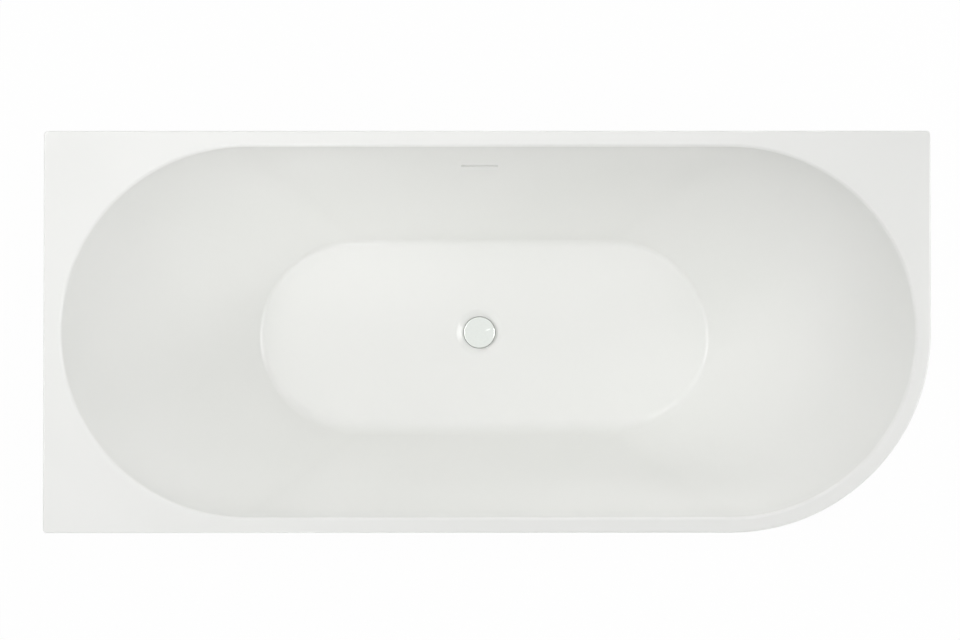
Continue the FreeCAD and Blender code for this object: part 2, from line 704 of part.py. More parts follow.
def pipe_nuts():
    """Two union nuts with grip ribs, screwed over the socket mouths."""
    top = CONE_SEAL_LENGTH + UNION_END_WALL
    inside = SOCKET_RADIUS + RUN_GAP
    nut = disc(UNION_RADIUS, top - UNION_LENGTH, top, 0, 0)
    ribs = []
    for index in range(UNION_RIB_COUNT):
        rib = block(
            inside,
            UNION_RADIUS + UNION_RIB_HEIGHT,
            -UNION_RIB_WIDTH / 2,
            UNION_RIB_WIDTH / 2,
            top - UNION_LENGTH,
            top - UNION_END_WALL,
        )
        rib.rotate(Vector(0, 0, 0), Vector(0, 0, 1), 360 * index / UNION_RIB_COUNT)
        ribs.append(rib)
    nut = joined(nut, *ribs)
    nut = nut.cut(disc(inside, top - UNION_LENGTH, CONE_SEAL_LENGTH, 0, 0))
    nut = nut.cut(disc(SOCKET_BORE_RADIUS, CONE_SEAL_LENGTH, top, 0, 0))
    return on_pipe_ends(nut)


def pipe_seals():
    """Two cone rings between the socket mouths and the union nuts."""
    seal = turned(
        [
            (SOCKET_BORE_RADIUS, 0),
            (SOCKET_RADIUS, 0),
            (SOCKET_RADIUS - SOCKET_WALL / 3, CONE_SEAL_LENGTH),
            (SOCKET_BORE_RADIUS, CONE_SEAL_LENGTH),
        ],
        0,
        0,
    )
    return on_pipe_ends(seal)


# Apron


def apron_form(inwards, z_from, z_to):
    """The apron's leaning form as a filled solid, every side moved in by a distance."""
    height = APRON_TOP_Z - APRON_FLOOR_GAP
    wires = []
    for z in (z_from, z_to):
        taper = APRON_TAPER * (APRON_TOP_Z - z) / height
        wire, _ = corner_outline(APRON_SETBACK + inwards, taper, z)
        wires.append(wire)
    return Part.makeLoft(wires, True, True)


def apron_panel():
    """Skirt on the front and the right end, with its ends turned in along the walls."""
    form = apron_form(0, APRON_FLOOR_GAP, APRON_TOP_Z)
    _, corners = corner_outline(APRON_SETBACK, 0, APRON_TOP_Z)
    form = form.makeFillet(APRON_CORNER_RADIUS, upright_edges(form, corners))
    skirt = form.cut(apron_form(APRON_THICKNESS, APRON_FLOOR_GAP, APRON_TOP_Z))
    foot_front = -WIDTH / 2 + APRON_SETBACK + APRON_TAPER
    foot_right = LENGTH / 2 - APRON_SETBACK - APRON_TAPER
    left = -LENGTH / 2
    back = WIDTH / 2
    open_left = block(left, left + APRON_SETBACK + APRON_THICKNESS, foot_front + APRON_RETURN, back, 0, RIM_Z)
    open_back = block(left, foot_right - APRON_RETURN, back - APRON_SETBACK - APRON_THICKNESS, back, 0, RIM_Z)
    return skirt.cut(open_left).cut(open_back)


def batten_heights():
    """Lower and upper edge of the battens."""
    return BATTEN_FLOOR_GAP, BATTEN_FLOOR_GAP + BATTEN_HEIGHT


def front_batten_face():
    """Where the upright inner face of the front batten stands."""
    return -WIDTH / 2 + APRON_SETBACK + APRON_TAPER + APRON_THICKNESS + BATTEN_THICKNESS


def apron_batten_front():
    """Wood strip along the foot of the front, leaning with the apron outside, upright inside."""
    low, high = batten_heights()
    form = apron_form(APRON_THICKNESS + BOND_GAP, low, high)
    left = -LENGTH / 2 + APRON_SETBACK + APRON_THICKNESS + BATTEN_END_GAP
    curve_start = LENGTH / 2 - WIDTH / 2
    return form.common(block(left, curve_start, -WIDTH / 2, front_batten_face(), low, high))


def apron_batten_end():
    """Wood strip along the foot of the straight part of the right end."""
    low, high = batten_heights()
    form = apron_form(APRON_THICKNESS + BOND_GAP, low, high)
    inner = LENGTH / 2 - APRON_SETBACK - APRON_TAPER - APRON_THICKNESS - BATTEN_THICKNESS
    back = WIDTH / 2 - APRON_SETBACK - APRON_THICKNESS - BATTEN_END_GAP
    return form.common(block(inner, LENGTH / 2, 0, back, low, high))


# Baseboard, bars and feet


def bar_places():
    """Middle of each bar along X, by side."""
    reach = BOARD_HALF_LENGTH - BAR_INSET
    return {"left": FLOOR_CENTRE_X - reach, "right": FLOOR_CENTRE_X + reach}


def foot_row(row):
    """Place along Y of the front or back feet, clear of the basin at the top of their studs."""
    stud_depth = RIM_Z - BAR_TOP_Z - FOOT_STUD_ABOVE_BAR
    outside = wall_place(row, stud_depth, ACRYLIC + BOND_GAP + FIBRE_LAYER)
    return outside + OUTWARD[row] * (FOOT_WALL_GAP + FOOT_STUD_RADIUS)


def bar_ends():
    """Front and back end of the bars."""
    front = front_batten_face() + BRACKET_THICKNESS + BOND_GAP
    return front, foot_row("back") + BAR_PAST_FOOT


def foot_places():
    """Foot name to its place in plan."""
    rows = {row: foot_row(row) for row in ("front", "back")}
    return {f"{row}_{side}": (x, y) for side, x in bar_places().items() for row, y in rows.items()}


def bar_screw_places(x):
    """Places of the screws that hold one bar to the board."""
    past_straight = abs(x - FLOOR_CENTRE_X) - (BOARD_HALF_LENGTH - BOARD_RADIUS)
    half_width = math.sqrt(BOARD_RADIUS**2 - max(past_straight, 0) ** 2)
    outer = half_width - BAR_SCREW_EDGE
    inner = outer - BAR_SCREW_PITCH
    return [(x, FLOOR_CENTRE_Y + offset) for offset in (-outer, -inner, inner, outer)]


def screw(x, y, seat, depth):
    """Pan-head screw with its head under a seat and its shank going up."""
    head = disc(SCREW_HEAD_RADIUS, seat - SCREW_HEAD_HEIGHT, seat, x, y)
    head = head.makeFillet(SCREW_HEAD_HEIGHT / 2, edges_at_height(head, seat - SCREW_HEAD_HEIGHT))
    return joined(head, disc(SCREW_RADIUS, seat, seat + depth, x, y))


def baseboard():
    """Board under the basin floor, cut out around the waste."""
    sides = {
        "left": FLOOR_CENTRE_X - BOARD_HALF_LENGTH,
        "right": FLOOR_CENTRE_X + BOARD_HALF_LENGTH,
        "front": FLOOR_CENTRE_Y - BOARD_RADIUS,
        "back": FLOOR_CENTRE_Y + BOARD_RADIUS,
    }
    board = Part.Face(stadium(sides, BAR_TOP_Z)).extrude(Vector(0, 0, BOARD_THICKNESS))
    board = board.cut(disc(BOARD_WASTE_RADIUS, BAR_TOP_Z, BOARD_TOP_Z))
    for x in bar_places().values():
        for place in bar_screw_places(x):
            board = board.cut(disc(SCREW_RADIUS + RUN_GAP, BAR_TOP_Z, BAR_TOP_Z + BAR_SCREW_DEPTH, *place))
    return board


def leg_bar(side):
    """Steel channel, open below, with holes for the feet and the screws."""
    x = bar_places()[side]
    front, back = bar_ends()
    bottom = BAR_TOP_Z - BAR_HEIGHT
    bar = block(x - BAR_WIDTH / 2, x + BAR_WIDTH / 2, front, back, bottom, BAR_TOP_Z)
    bar = bar.makeFillet(BAR_BEND_RADIUS + BAR_WALL, edges_along_y(edges_at_height(bar, BAR_TOP_Z)))
    inside = BAR_WIDTH / 2 - BAR_WALL
    hollow = block(x - inside, x + inside, front, back, bottom, BAR_WEB_Z)
    bar = bar.cut(hollow.makeFillet(BAR_BEND_RADIUS, edges_along_y(edges_at_height(hollow, BAR_WEB_Z))))
    for foot_x, foot_y in foot_places().values():
        if foot_x == x:
            bar = bar.cut(disc(FOOT_STUD_RADIUS + RUN_GAP, BAR_WEB_Z, BAR_TOP_Z, foot_x, foot_y))
    for place in bar_screw_places(x):
        bar = bar.cut(disc(SCREW_RADIUS + RUN_GAP, BAR_WEB_Z, BAR_TOP_Z, *place))
    return bar.cut(disc(SCREW_RADIUS + RUN_GAP, BAR_WEB_Z, BAR_TOP_Z, x, bracket_bar_screw()))


def leg_bar_screws():
    """All screws between the bars and the board."""
    depth = BAR_WALL + BAR_SCREW_DEPTH - BOND_GAP
    places = [place for x in bar_places().values() for place in bar_screw_places(x)]
    return Part.makeCompound([screw(*place, BAR_WEB_Z, depth) for place in places])


def foot_nut(x, y, z_from):
    """Hexagon nut around a foot stud."""
    z_to = z_from + FOOT_NUT_HEIGHT
    return hexagon(FOOT_NUT_FLATS, z_from, z_to, x, y).cut(
        disc(FOOT_STUD_RADIUS + RUN_GAP, z_from, z_to, x, y)
    )


def foot_stud(x, y):
    """Threaded stud, as a plain rod with chamfered ends."""
    top = BAR_TOP_Z + FOOT_STUD_ABOVE_BAR
    rod = disc(FOOT_STUD_RADIUS, PAD_FLOOR, top, x, y)
    ends = edges_at_height(rod, top) + edges_at_height(rod, PAD_FLOOR)
    return rod.makeChamfer(FOOT_STUD_RADIUS / 6, ends)


def foot_pad(x, y):
    """Moulded foot with a socket for its stud."""
    pad = turned(
        [
            (0, 0),
            (PAD_RADIUS, 0),
            (PAD_RADIUS, PAD_BASE_HEIGHT),
            (PAD_TOP_RADIUS, PAD_HEIGHT),
            (0, PAD_HEIGHT),
        ],
        x,
        y,
    )
    rounded = edges_at_height(pad, PAD_BASE_HEIGHT) + edges_at_height(pad, PAD_HEIGHT)
    pad = pad.makeFillet(PAD_EDGE_RADIUS, rounded)
    return pad.cut(disc(FOOT_STUD_RADIUS + RUN_GAP, PAD_FLOOR, PAD_HEIGHT, x, y))


def bracket_bar_screw():
    """Place along Y of the screw that holds a bracket to its bar."""
    front, _ = bar_ends()
    return front + (BRACKET_LENGTH - BRACKET_THICKNESS) / 2


def bracket_batten_screws():
    """Heights of the screws that hold a bracket to the batten."""
    low, high = batten_heights()
    middle = (low + high) / 2
    return [middle - BRACKET_SCREW_PITCH / 2, middle + BRACKET_SCREW_PITCH / 2]


def apron_bracket(x):
    """Steel angle that lies on a bar and hangs down the inner face of the front batten."""
    face = front_batten_face()
    low, _ = batten_heights()
    left = x - BRACKET_WIDTH / 2
    right = x + BRACKET_WIDTH / 2
    top = BAR_TOP_Z + BRACKET_THICKNESS
    upright = block(left, right, face, face + BRACKET_THICKNESS, low, top)
    level = block(left, right, face, face + BRACKET_LENGTH, BAR_TOP_Z, top)
    angle = joined(upright, level)
    bend = [edge for edge in edges_at_height(angle, top) if edge.BoundBox.YMax < face + TOUCHING]
    angle = angle.makeFillet(BRACKET_THICKNESS, bend)
    hole = SCREW_RADIUS + RUN_GAP
    angle = angle.cut(disc(hole, BAR_TOP_Z, top, x, bracket_bar_screw()))
    for z in bracket_batten_screws():
        angle = angle.cut(Part.makeCylinder(hole, BRACKET_THICKNESS, Vector(x, face, z), Vector(0, 1, 0)))
    return angle


def bracket_screws():
    """Screws through the brackets, into the bars and into the front batten."""
    screws = []
    for x in bar_places().values():
        y = bracket_bar_screw()
        seat = BAR_TOP_Z + BRACKET_THICKNESS
        down = screw(x, y, seat, BRACKET_THICKNESS + BAR_WALL + SCREW_HEAD_HEIGHT)
        down.rotate(Vector(x, y, seat), Vector(1, 0, 0), 180)
        screws.append(down)
        seat = front_batten_face() + BRACKET_THICKNESS
        for z in bracket_batten_screws():
            forward = screw(0, 0, 0, BRACKET_THICKNESS + BRACKET_SCREW_DEPTH - BOND_GAP)
            forward.Placement = Placement(Vector(x, seat, z), Rotation(Vector(0, 0, 1), Vector(0, -1, 0)))
            screws.append(forward)
    return Part.makeCompound(screws)


def with_screw_holes(batten):
    """The front batten with the holes of its bracket screws."""
    face = front_batten_face()
    for x in bar_places().values():
        for z in bracket_batten_screws():
            hole = Part.makeCylinder(
                SCREW_RADIUS + RUN_GAP, BRACKET_SCREW_DEPTH, Vector(x, face, z), Vector(0, -1, 0)
            )
            batten = batten.cut(hole)
    return batten


def main():
    """Build every piece and write its file."""
    os.makedirs("parts", exist_ok=True)
    save("bath_shell", bath_shell())
    save("shell_backing", shell_backing())
    save("apron_panel", apron_panel())
    save("apron_batten_front", with_screw_holes(apron_batten_front()))
    save("apron_batten_end", apron_batten_end())
    save("baseboard", baseboard())
    for side in bar_places():
        save(f"leg_bar_{side}", leg_bar(side))
    save("leg_bar_screws", leg_bar_screws())
    save("apron_brackets", Part.makeCompound([apron_bracket(x) for x in bar_places().values()]))
    save("bracket_screws", bracket_screws())
    feet = foot_places()
    for name, place in feet.items():
        save(f"foot_stud_{name}", foot_stud(*place))
        save(f"foot_pad_{name}", foot_pad(*place))
    save("foot_nuts", Part.makeCompound([foot_nut(*place, BAR_TOP_Z) for place in feet.values()]))
    lock_z = BAR_WEB_Z - FOOT_NUT_HEIGHT
    save("foot_locknuts", Part.makeCompound([foot_nut(*place, lock_z) for place in feet.values()]))
    save("waste_flange", waste_flange())
    flange_bottom = DISH_Z + FLANGE_SEAL_THICKNESS
    save("flange_seal", ring(FLANGE_RADIUS, WASTE_HOLE_RADIUS, DISH_Z, flange_bottom))
    save("body_seal", ring(BODY_FLANGE_RADIUS, WASTE_HOLE_RADIUS, BODY_Z, BODY_Z + BODY_SEAL_THICKNESS))
    save("waste_body", waste_body())
    save("waste_cap", waste_cap())
    seal_inside = CAP_SEAL_RADIUS - CAP_SEAL_WIDTH
    save("cap_seal", ring(CAP_SEAL_RADIUS, seal_inside, CAP_Z - CAP_SEAL_THICKNESS, CAP_Z))
    sleeve_inside = SLEEVE_RADIUS - SLEEVE_WALL
    save("cartridge_sleeve", ring(SLEEVE_RADIUS, sleeve_inside, HUB_Z + SLEEVE_HUB_GAP, CAP_Z))
    save("cartridge_stud", cartridge_stud())
    save("cartridge_spring", cartridge_spring())
    save("overflow_box", overflow_box())
    save("overflow_gasket", overflow_gasket())
    save("overflow_pipe", overflow_pipe())
    save("pipe_nuts", pipe_nuts())
    save("pipe_seals", pipe_seals())


main()
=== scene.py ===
"""Looks of the corner bathtub: smooth skins, small fittings, finishes, studio light and camera.

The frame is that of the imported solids, in metres: X along the tub to the right, Y to the back wall,
Z up. Forms are drawn in millimetres.
"""

import logging
import math
from abc import ABC, abstractmethod
from dataclasses import dataclass, field
from enum import Enum

import bmesh
import bpy
from mathutils import Matrix, Vector


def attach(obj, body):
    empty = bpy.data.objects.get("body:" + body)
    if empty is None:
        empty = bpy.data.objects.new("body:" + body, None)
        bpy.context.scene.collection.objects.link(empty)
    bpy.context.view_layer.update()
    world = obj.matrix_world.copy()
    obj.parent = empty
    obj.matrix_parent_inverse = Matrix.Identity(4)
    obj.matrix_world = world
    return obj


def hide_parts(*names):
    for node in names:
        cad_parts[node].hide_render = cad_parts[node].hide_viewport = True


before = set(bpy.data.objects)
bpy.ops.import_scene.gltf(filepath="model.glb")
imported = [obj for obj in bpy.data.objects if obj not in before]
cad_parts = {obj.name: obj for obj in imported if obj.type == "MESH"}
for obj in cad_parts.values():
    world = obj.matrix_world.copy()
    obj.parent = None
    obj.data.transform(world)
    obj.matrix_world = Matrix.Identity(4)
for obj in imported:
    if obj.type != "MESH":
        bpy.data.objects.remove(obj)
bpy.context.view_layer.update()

MM = 0.001
QUARTER = math.pi / 2
HEX_TURN = math.pi / 3
TINY = 1e-6
SRGB_KNEE = 0.04045
SRGB_SLOPE = 12.92
SRGB_OFFSET = 0.055
SRGB_POWER = 2.4
MIX_FIRST, MIX_SECOND, MIX_RESULT = 6, 7, 2  # sockets of the mix node that hold colours
FULL_WEIGHT = 100  # highest weight of large faces in the normals
LOG = logging.getLogger("bathtub")

Colour = tuple[float, float, float, float]
Place = tuple[float, float, float]
Span = tuple[float, float]
Profile = list[tuple[float, float]]
Ring = list[Vector]
Socket = bpy.types.NodeSocket
Inputs = dict[str | int, object]
Pattern = tuple[Socket, Socket, Socket | None]

WHITE: Colour = (1.0, 1.0, 1.0, 1.0)


# Colours, patterns and shader nodes


def linear(hex_colour: str) -> Colour:
    """Turn an sRGB hex colour into linear light.

    Args:
        hex_colour: Six hex digits after a hash sign.

    Returns:
        Red, green, blue and an alpha of 1.
    """
    shares = [int(hex_colour[start : start + 2], 16) / 255 for start in (1, 3, 5)]
    bent = [((share + SRGB_OFFSET) / (1 + SRGB_OFFSET)) ** SRGB_POWER for share in shares]
    red, green, blue = [s / SRGB_SLOPE if s <= SRGB_KNEE else b for s, b in zip(shares, bent)]
    return red, green, blue, 1.0


def per_metre(size_mm: float) -> float:
    """Give the texture scale whose features are about a size in millimetres."""
    return 1 / (size_mm * MM)


@dataclass(frozen=True)
class Nodes:
    """Shader nodes of a material or of the world."""

    tree: bpy.types.NodeTree

    def fill(self, node: bpy.types.Node, inputs: Inputs) -> None:
        """Fill a node's sockets.

        Args:
            node: The node.
            inputs: Socket name or index to a value, or to an output socket that is linked.
        """
        for name, value in inputs.items():
            if isinstance(value, Socket):
                self.tree.links.new(value, node.inputs[name])
            else:
                node.inputs[name].default_value = value

    def add(self, kind: str, inputs: Inputs | None = None, **settings: object) -> bpy.types.NodeOutputs:
        """Add a node with its settings and links.

        Args:
            kind: The node's type without the prefix that all shader nodes share.
            inputs: What goes into its sockets, as for fill.
            settings: The node's own options by name.

        Returns:
            The outputs of the new node.
        """
        node = self.tree.nodes.new("ShaderNode" + kind)
        for name, value in settings.items():
            setattr(node, name, value)
        self.fill(node, inputs or {})
        return node.outputs

    def combine(self, kind: str, operation: str, *values: object) -> bpy.types.NodeOutputs:
        """Add a math node.

        Args:
            kind: Math for numbers or VectorMath for vectors.
            operation: What it does with the values.
            values: Values or output sockets, in order.

        Returns:
            The outputs of the new node.
        """
        return self.add(kind, dict(enumerate(values)), operation=operation)

    def noise(self, place: Socket, size_mm: float, detail: float) -> Socket:
        """Cloudy pattern with features of about a size in millimetres."""
        return self.add("TexNoise", {"Vector": place, "Scale": per_metre(size_mm), "Detail": detail})[0]

    def cells(self, place: Socket, size_mm: float) -> bpy.types.NodeOutputs:
        """Patchwork of cells of about a size in millimetres, with a colour and a distance for each."""
        return self.add("TexVoronoi", {"Vector": place, "Scale": per_metre(size_mm)})

    def blend(self, share: Socket, first: str, second: str) -> Socket:
        """Blend two hex colours by a share of the second."""
        inputs = {"Factor": share, MIX_FIRST: linear(first), MIX_SECOND: linear(second)}
        return self.add("Mix", inputs, data_type="RGBA")[MIX_RESULT]

    def between(self, value: Socket, low: float, high: float) -> Socket | float:
        """Spread a value of 0 to 1 over a range; a range without width is one constant."""
        if low == high:
            return low
        return self.add("MapRange", {"Value": value, "To Min": low, "To Max": high})[0]

    def relief(self, height: Socket, strength: float, depth_mm: float, invert: bool = False) -> Socket:
        """Turn a height of 0 to 1 into the normal of a surface with that relief."""
        inputs = {"Height": height, "Strength": strength, "Distance": depth_mm * MM}
        return self.add("Bump", inputs, invert=invert)[0]


# Finishes


class Grain(Enum):
    """Direction that the fibres of a wood strip run in, as the stretch of its pattern."""

    ALONG_X = (0.02, 1.0, 1.0)
    ALONG_Y = (1.0, 0.02, 1.0)


@dataclass(frozen=True)
class Finish(ABC):
    """A real material with the surface that its making gave it."""

    title: str
    low_tone: str  # colour where the tone of the pattern is 0
    high_tone: str  # colour where it is 1
    roughness: Span
    ior: float = 1.5  # not used for metals, nor is the relief
    relief: Span = (1.0, 0.0)  # strength, and height in millimetres
    sunk: bool = False  # turns the relief inwards

    def name(self) -> str:
        """Name of the material."""
        return self.title

    def material(self) -> bpy.types.Material:
        """Give the finish as a material, made on first use.

        Returns:
            The material.
        """
        known = bpy.data.materials.get(self.name())
        if known is not None:
            return known
        made = bpy.data.materials.new(self.name())
        made.use_nodes = True
        nodes = Nodes(made.node_tree)
        tone, dull, height = self.pattern(nodes, nodes.add("TexCoord")["Object"])
        look: Inputs = {
            "Base Color": nodes.blend(tone, self.low_tone, self.high_tone),
            "Roughness": nodes.between(dull, *self.roughness),
        }
        if height is None:
            look["Metallic"] = 1.0
        else:
            look["IOR"] = self.ior
            look["Normal"] = nodes.relief(height, *self.relief, invert=self.sunk)
        nodes.fill(made.node_tree.nodes["Principled BSDF"], look)
        return made

    @abstractmethod
    def pattern(self, nodes: Nodes, place: Socket) -> Pattern:
        """Build the pattern.

        Args:
            nodes: The material's nodes.
            place: Position on the object, in metres.

        Returns:
            Tone, dullness and height, each from 0 to 1. A metal has no height.
        """

    def dress(self, *pieces: bpy.types.Object) -> None:
        """Put the finish on pieces.

        Args:
            pieces: The objects that get it.
        """
        for piece in pieces:
            if not piece.material_slots:
                piece.data.materials.append(None)
            for slot in piece.material_slots:
                slot.material = self.material()


@dataclass(frozen=True)
class ThermoformedAcrylic(Finish):
    """Cast acrylic sheet, drawn over a mould."""

    # The sheet keeps its polish: a deep white with clear reflections that wander a little
    # where the warm sheet was stretched, and a hardly seen drift of tone with its thickness.
    title: str = "acrylic_thermoformed_gloss_white"
    low_tone: str = "#F5F5F3"
    high_tone: str = "#F2F3F0"
    roughness: Span = (0.05, 0.09)
    ior: float = 1.49
    relief: Span = (1.0, 0.05)
    drift_mm: float = 260.0
    wander_mm: float = 45.0

    def pattern(self, nodes: Nodes, place: Socket) -> Pattern:
        """Build the drift of tone and the wandering gloss, as Finish.pattern says."""
        wander = nodes.noise(place, self.wander_mm, detail=0.0)
        return nodes.noise(place, self.drift_mm, detail=1.0), wander, wander


@dataclass(frozen=True)
class CloudedMetal(Finish):
    """Metal whose tone and gloss change together over small clouds or lines."""

    cloud_mm: float = 1.0
    detail: float = 3.0

    def pattern(self, nodes: Nodes, place: Socket) -> Pattern:
        """Build the clouds, as Finish.pattern says."""
        clouds = nodes.noise(place, self.cloud_mm, self.detail)
        return clouds, clouds, None


@dataclass(frozen=True)
class PolishedChrome(CloudedMetal):
    """Chrome plate on polished brass."""

    # A clear mirror of the white tub. Fine wiping marks break its gloss up a little.
    title: str = "chrome_plate_polished"
    low_tone: str = "#EAEEEA"
    high_tone: str = "#E2E6E1"
    roughness: Span = (0.03, 0.1)
    cloud_mm: float = 2.5


@dataclass(frozen=True)
class ZincPlate(CloudedMetal):
    """Bright zinc electroplate on small steel pieces."""

    # An even silvery grey with a faint blue cast, clouded where the bath left it duller.
    title: str = "steel_bright_zinc_plated"
    low_tone: str = "#CFD3D6"
    high_tone: str = "#ABB2B6"
    roughness: Span = (0.2, 0.38)
    cloud_mm: float = 6.0


@dataclass(frozen=True)
class DrawnStainless(CloudedMetal):
    """Stainless spring wire."""

    # Drawn through a die, so it is bright with fine lines and one even gloss.
    title: str = "stainless_wire_drawn"
    low_tone: str = "#C9C9C7"
    high_tone: str = "#A7A8A8"
    roughness: Span = (0.28, 0.28)
    cloud_mm: float = 0.4
    detail: float = 1.0


@dataclass(frozen=True)
class GalvanisedSteel(Finish):
    """Hot-dip galvanised steel sheet."""

    # Zinc crystals of a thumbnail's width, each with its own grey and its own dullness.
    title: str = "steel_hot_dip_galvanised"
    low_tone: str = "#B9BEC1"
    high_tone: str = "#8F969B"
    roughness: Span = (0.32, 0.55)
    spangle_mm: float = 11.0

    def pattern(self, nodes: Nodes, place: Socket) -> Pattern:
        """Build the zinc crystals, as Finish.pattern says."""
        crystals = nodes.cells(place, self.spangle_mm)
        shade = nodes.add("SeparateColor", {"Color": crystals["Color"]})
        return shade[0], shade[1], None


@dataclass(frozen=True)
class ChoppedStrandFibre(Finish):
    """Glass-fibre strands sprayed with polyester resin."""

    # Pale resin, with strands that lie criss-cross and stand a little proud under a wet gloss.
    title: str = "glass_fibre_chopped_strand_sprayed"
    low_tone: str = "#CFCBB0"
    high_tone: str = "#E6E4D6"
    roughness: Span = (0.42, 0.42)
    ior: float = 1.55
    relief: Span = (0.8, 0.8)
    strand_length_mm: float = 40.0
    strand_width_mm: float = 2.2  # real strands are about 1 mm, drawn coarser so that they show
    strand_range: Span = (0.55, 0.72)  # part of the noise that a strand rises over
    turns_deg: tuple[Span, ...] = (
        (0.0, 8.0),
        (0.0, 52.0),
        (0.0, 97.0),
        (0.0, 141.0),
        (58.0, 20.0),
        (-61.0, 75.0),
        (47.0, 118.0),
        (-52.0, 164.0),
    )

    def layer(self, nodes: Nodes, place: Socket, dip_deg: float, turn_deg: float) -> Socket:
        """Build the strands that lie in one direction.

        Args:
            nodes: The material's nodes.
            place: Position on the object, in metres.
            dip_deg: How far the strands dip.
            turn_deg: How far they are turned about the upright axis.

        Returns:
            Height of the strands.
        """
        way = (0.0, math.radians(dip_deg), math.radians(turn_deg))
        lying = nodes.add("Mapping", {"Vector": place, "Rotation": way}, vector_type="TEXTURE")[0]
        across = per_metre(self.strand_width_mm)
        along = per_metre(self.strand_length_mm)
        drawn = nodes.add("Mapping", {"Vector": lying, "Scale": (along, across, across)})[0]
        noise = nodes.add("TexNoise", {"Vector": drawn, "Scale": 1.0, "Detail": 0.0})[0]
        low, high = self.strand_range
        return nodes.add("MapRange", {"Value": noise, "From Min": low, "From Max": high})[0]

    def pattern(self, nodes: Nodes, place: Socket) -> Pattern:
        """Build strands in several directions, as Finish.pattern says."""
        heap, *layers = [self.layer(nodes, place, dip, turn) for dip, turn in self.turns_deg]
        for layer in layers:
            heap = nodes.combine("Math", "MAXIMUM", heap, layer)[0]
        return heap, heap, heap


@dataclass(frozen=True)
class PlanedSoftwood(Finish):
    """Planed spruce strip."""

    # Pale early wood between darker year lines that run along the strip, dull from the planer.
    title: str = "softwood_planed"
    grain: Grain = Grain.ALONG_X
    low_tone: str = "#DDBB8A"
    high_tone: str = "#B98B56"
    roughness: Span = (0.55, 0.72)
    ior: float = 1.53
    relief: Span = (0.35, 0.3)
    patch_mm: float = 20.0
    lines: float = 9.0  # year lines over the range of one patch
    fibre_mm: float = 0.9  # drawn coarser than real fibres so that they show

    def name(self) -> str:
        """Name of the material, with the direction of the grain."""
        return f"{self.title}_{self.grain.name.lower()}"

    def pattern(self, nodes: Nodes, place: Socket) -> Pattern:
        """Build year lines and fibres, as Finish.pattern says."""
        stretched = nodes.add("Mapping", {"Vector": place, "Scale": self.grain.value})[0]
        patches = nodes.noise(stretched, self.patch_mm, detail=1.0)
        lines = nodes.combine("Math", "MULTIPLY", patches, self.lines)[0]
        saw = nodes.combine("Math", "FRACT", lines)[0]
        fibres = nodes.noise(stretched, self.fibre_mm, detail=2.0)
        return nodes.combine("Math", "MULTIPLY", saw, fibres)[0], fibres, fibres


@dataclass(frozen=True)
class PressedChipboard(Finish):
    """Wood chips pressed with resin."""

    # A patchwork of light and dark chips with small pits between them.
    title: str = "chipboard_pressed"
    low_tone: str = "#D3B385"
    high_tone: str = "#93703F"
    roughness: Span = (0.78, 0.78)
    relief: Span = (0.5, 0.5)
    sunk: bool = True
    chip_mm: float = 5.0

    def pattern(self, nodes: Nodes, place: Socket) -> Pattern:
        """Build the chips and their pits, as Finish.pattern says."""
        waves = {"Vector": place, "Scale": per_metre(self.chip_mm), "Detail": 2.0}
        bend = nodes.add("TexNoise", waves)["Color"]
        reach = (self.chip_mm * MM,) * 3
        bent = nodes.combine("VectorMath", "MULTIPLY_ADD", bend, reach, place)[0]
        chips = nodes.cells(bent, self.chip_mm)
        shade = nodes.add("SeparateColor", {"Color": chips["Color"]})[0]
        return shade, shade, chips["Distance"]


@dataclass(frozen=True)
class MouldedPlastic(Finish):
    """Injection-moulded polypropylene."""

    # A soft half gloss with the fine sandy grain of a spark-eroded mould.
    roughness: Span = (0.36, 0.48)
    ior: float = 1.49
    relief: Span = (0.3, 0.1)
    grain_mm: float = 1.2  # mould grain is finer, drawn coarser so that it shows
    flow_mm: float = 30.0

    def pattern(self, nodes: Nodes, place: Socket) -> Pattern:
        """Build the flow marks and the mould grain, as Finish.pattern says."""
        grain = nodes.noise(place, self.grain_mm, detail=1.0)
        return nodes.noise(place, self.flow_mm, detail=2.0), grain, grain


# Meshes


def polar(radius: float, angle: float, z: float) -> Vector:
    """Point at a distance from the upright axis, in a direction and at a height."""
    return Vector((radius * math.cos(angle), radius * math.sin(angle), z))


def rounded(corners: list[tuple[float, float, float]], steps: int = 8) -> Profile:
    """Round the corners of a line by arcs.

    Args:
        corners: Across, height and radius of each corner; the ends have a radius of 0.
        steps: Pieces that each arc is divided into.

    Returns:
        Points along the rounded line.
    """
    line: Profile = []
    for index, (across, height, radius) in enumerate(corners):
        corner = Vector((across, height))
        if radius == 0:
            line.append((across, height))
            continue
        before = (Vector(corners[index - 1][:2]) - corner).normalized()
        after = (Vector(corners[index + 1][:2]) - corner).normalized()
        half = before.angle(after) / 2
        start = corner + before * (radius / math.tan(half))
        end = corner + after * (radius / math.tan(half))
        line += arc(start, corner, end, math.sin(half), steps)
    return line


def arc(start: Vector, corner: Vector, end: Vector, weight: float, steps: int) -> Profile:
    """Points on the circle that touches two lines where they leave a corner.

    Args:
        start: Where the circle touches the first line.
        corner: Where the lines meet.
        end: Where the circle touches the second line.
        weight: Sine of half the angle between the lines.
        steps: Pieces that the arc is divided into.

    Returns:
        Points from start to end.
    """
    points: Profile = []
    for step in range(steps + 1):
        share = step / steps
        low, middle, high = (1 - share) ** 2, 2 * weight * share * (1 - share), share**2
        point = (start * low + corner * middle + end * high) / (low + middle + high)
        points.append((point.x, point.y))
    return points


def turned(profile: Profile, segments: int) -> list[Ring]:
    """Turn a profile about the upright axis.

    Args:
        profile: Radius and height of each point, in millimetres.
        segments: Points on each ring.

    Returns:
        One ring for each point.
    """
    angles = [math.tau * step / segments for step in range(segments)]
    return [[polar(radius, angle, z) for angle in angles] for radius, z in profile]


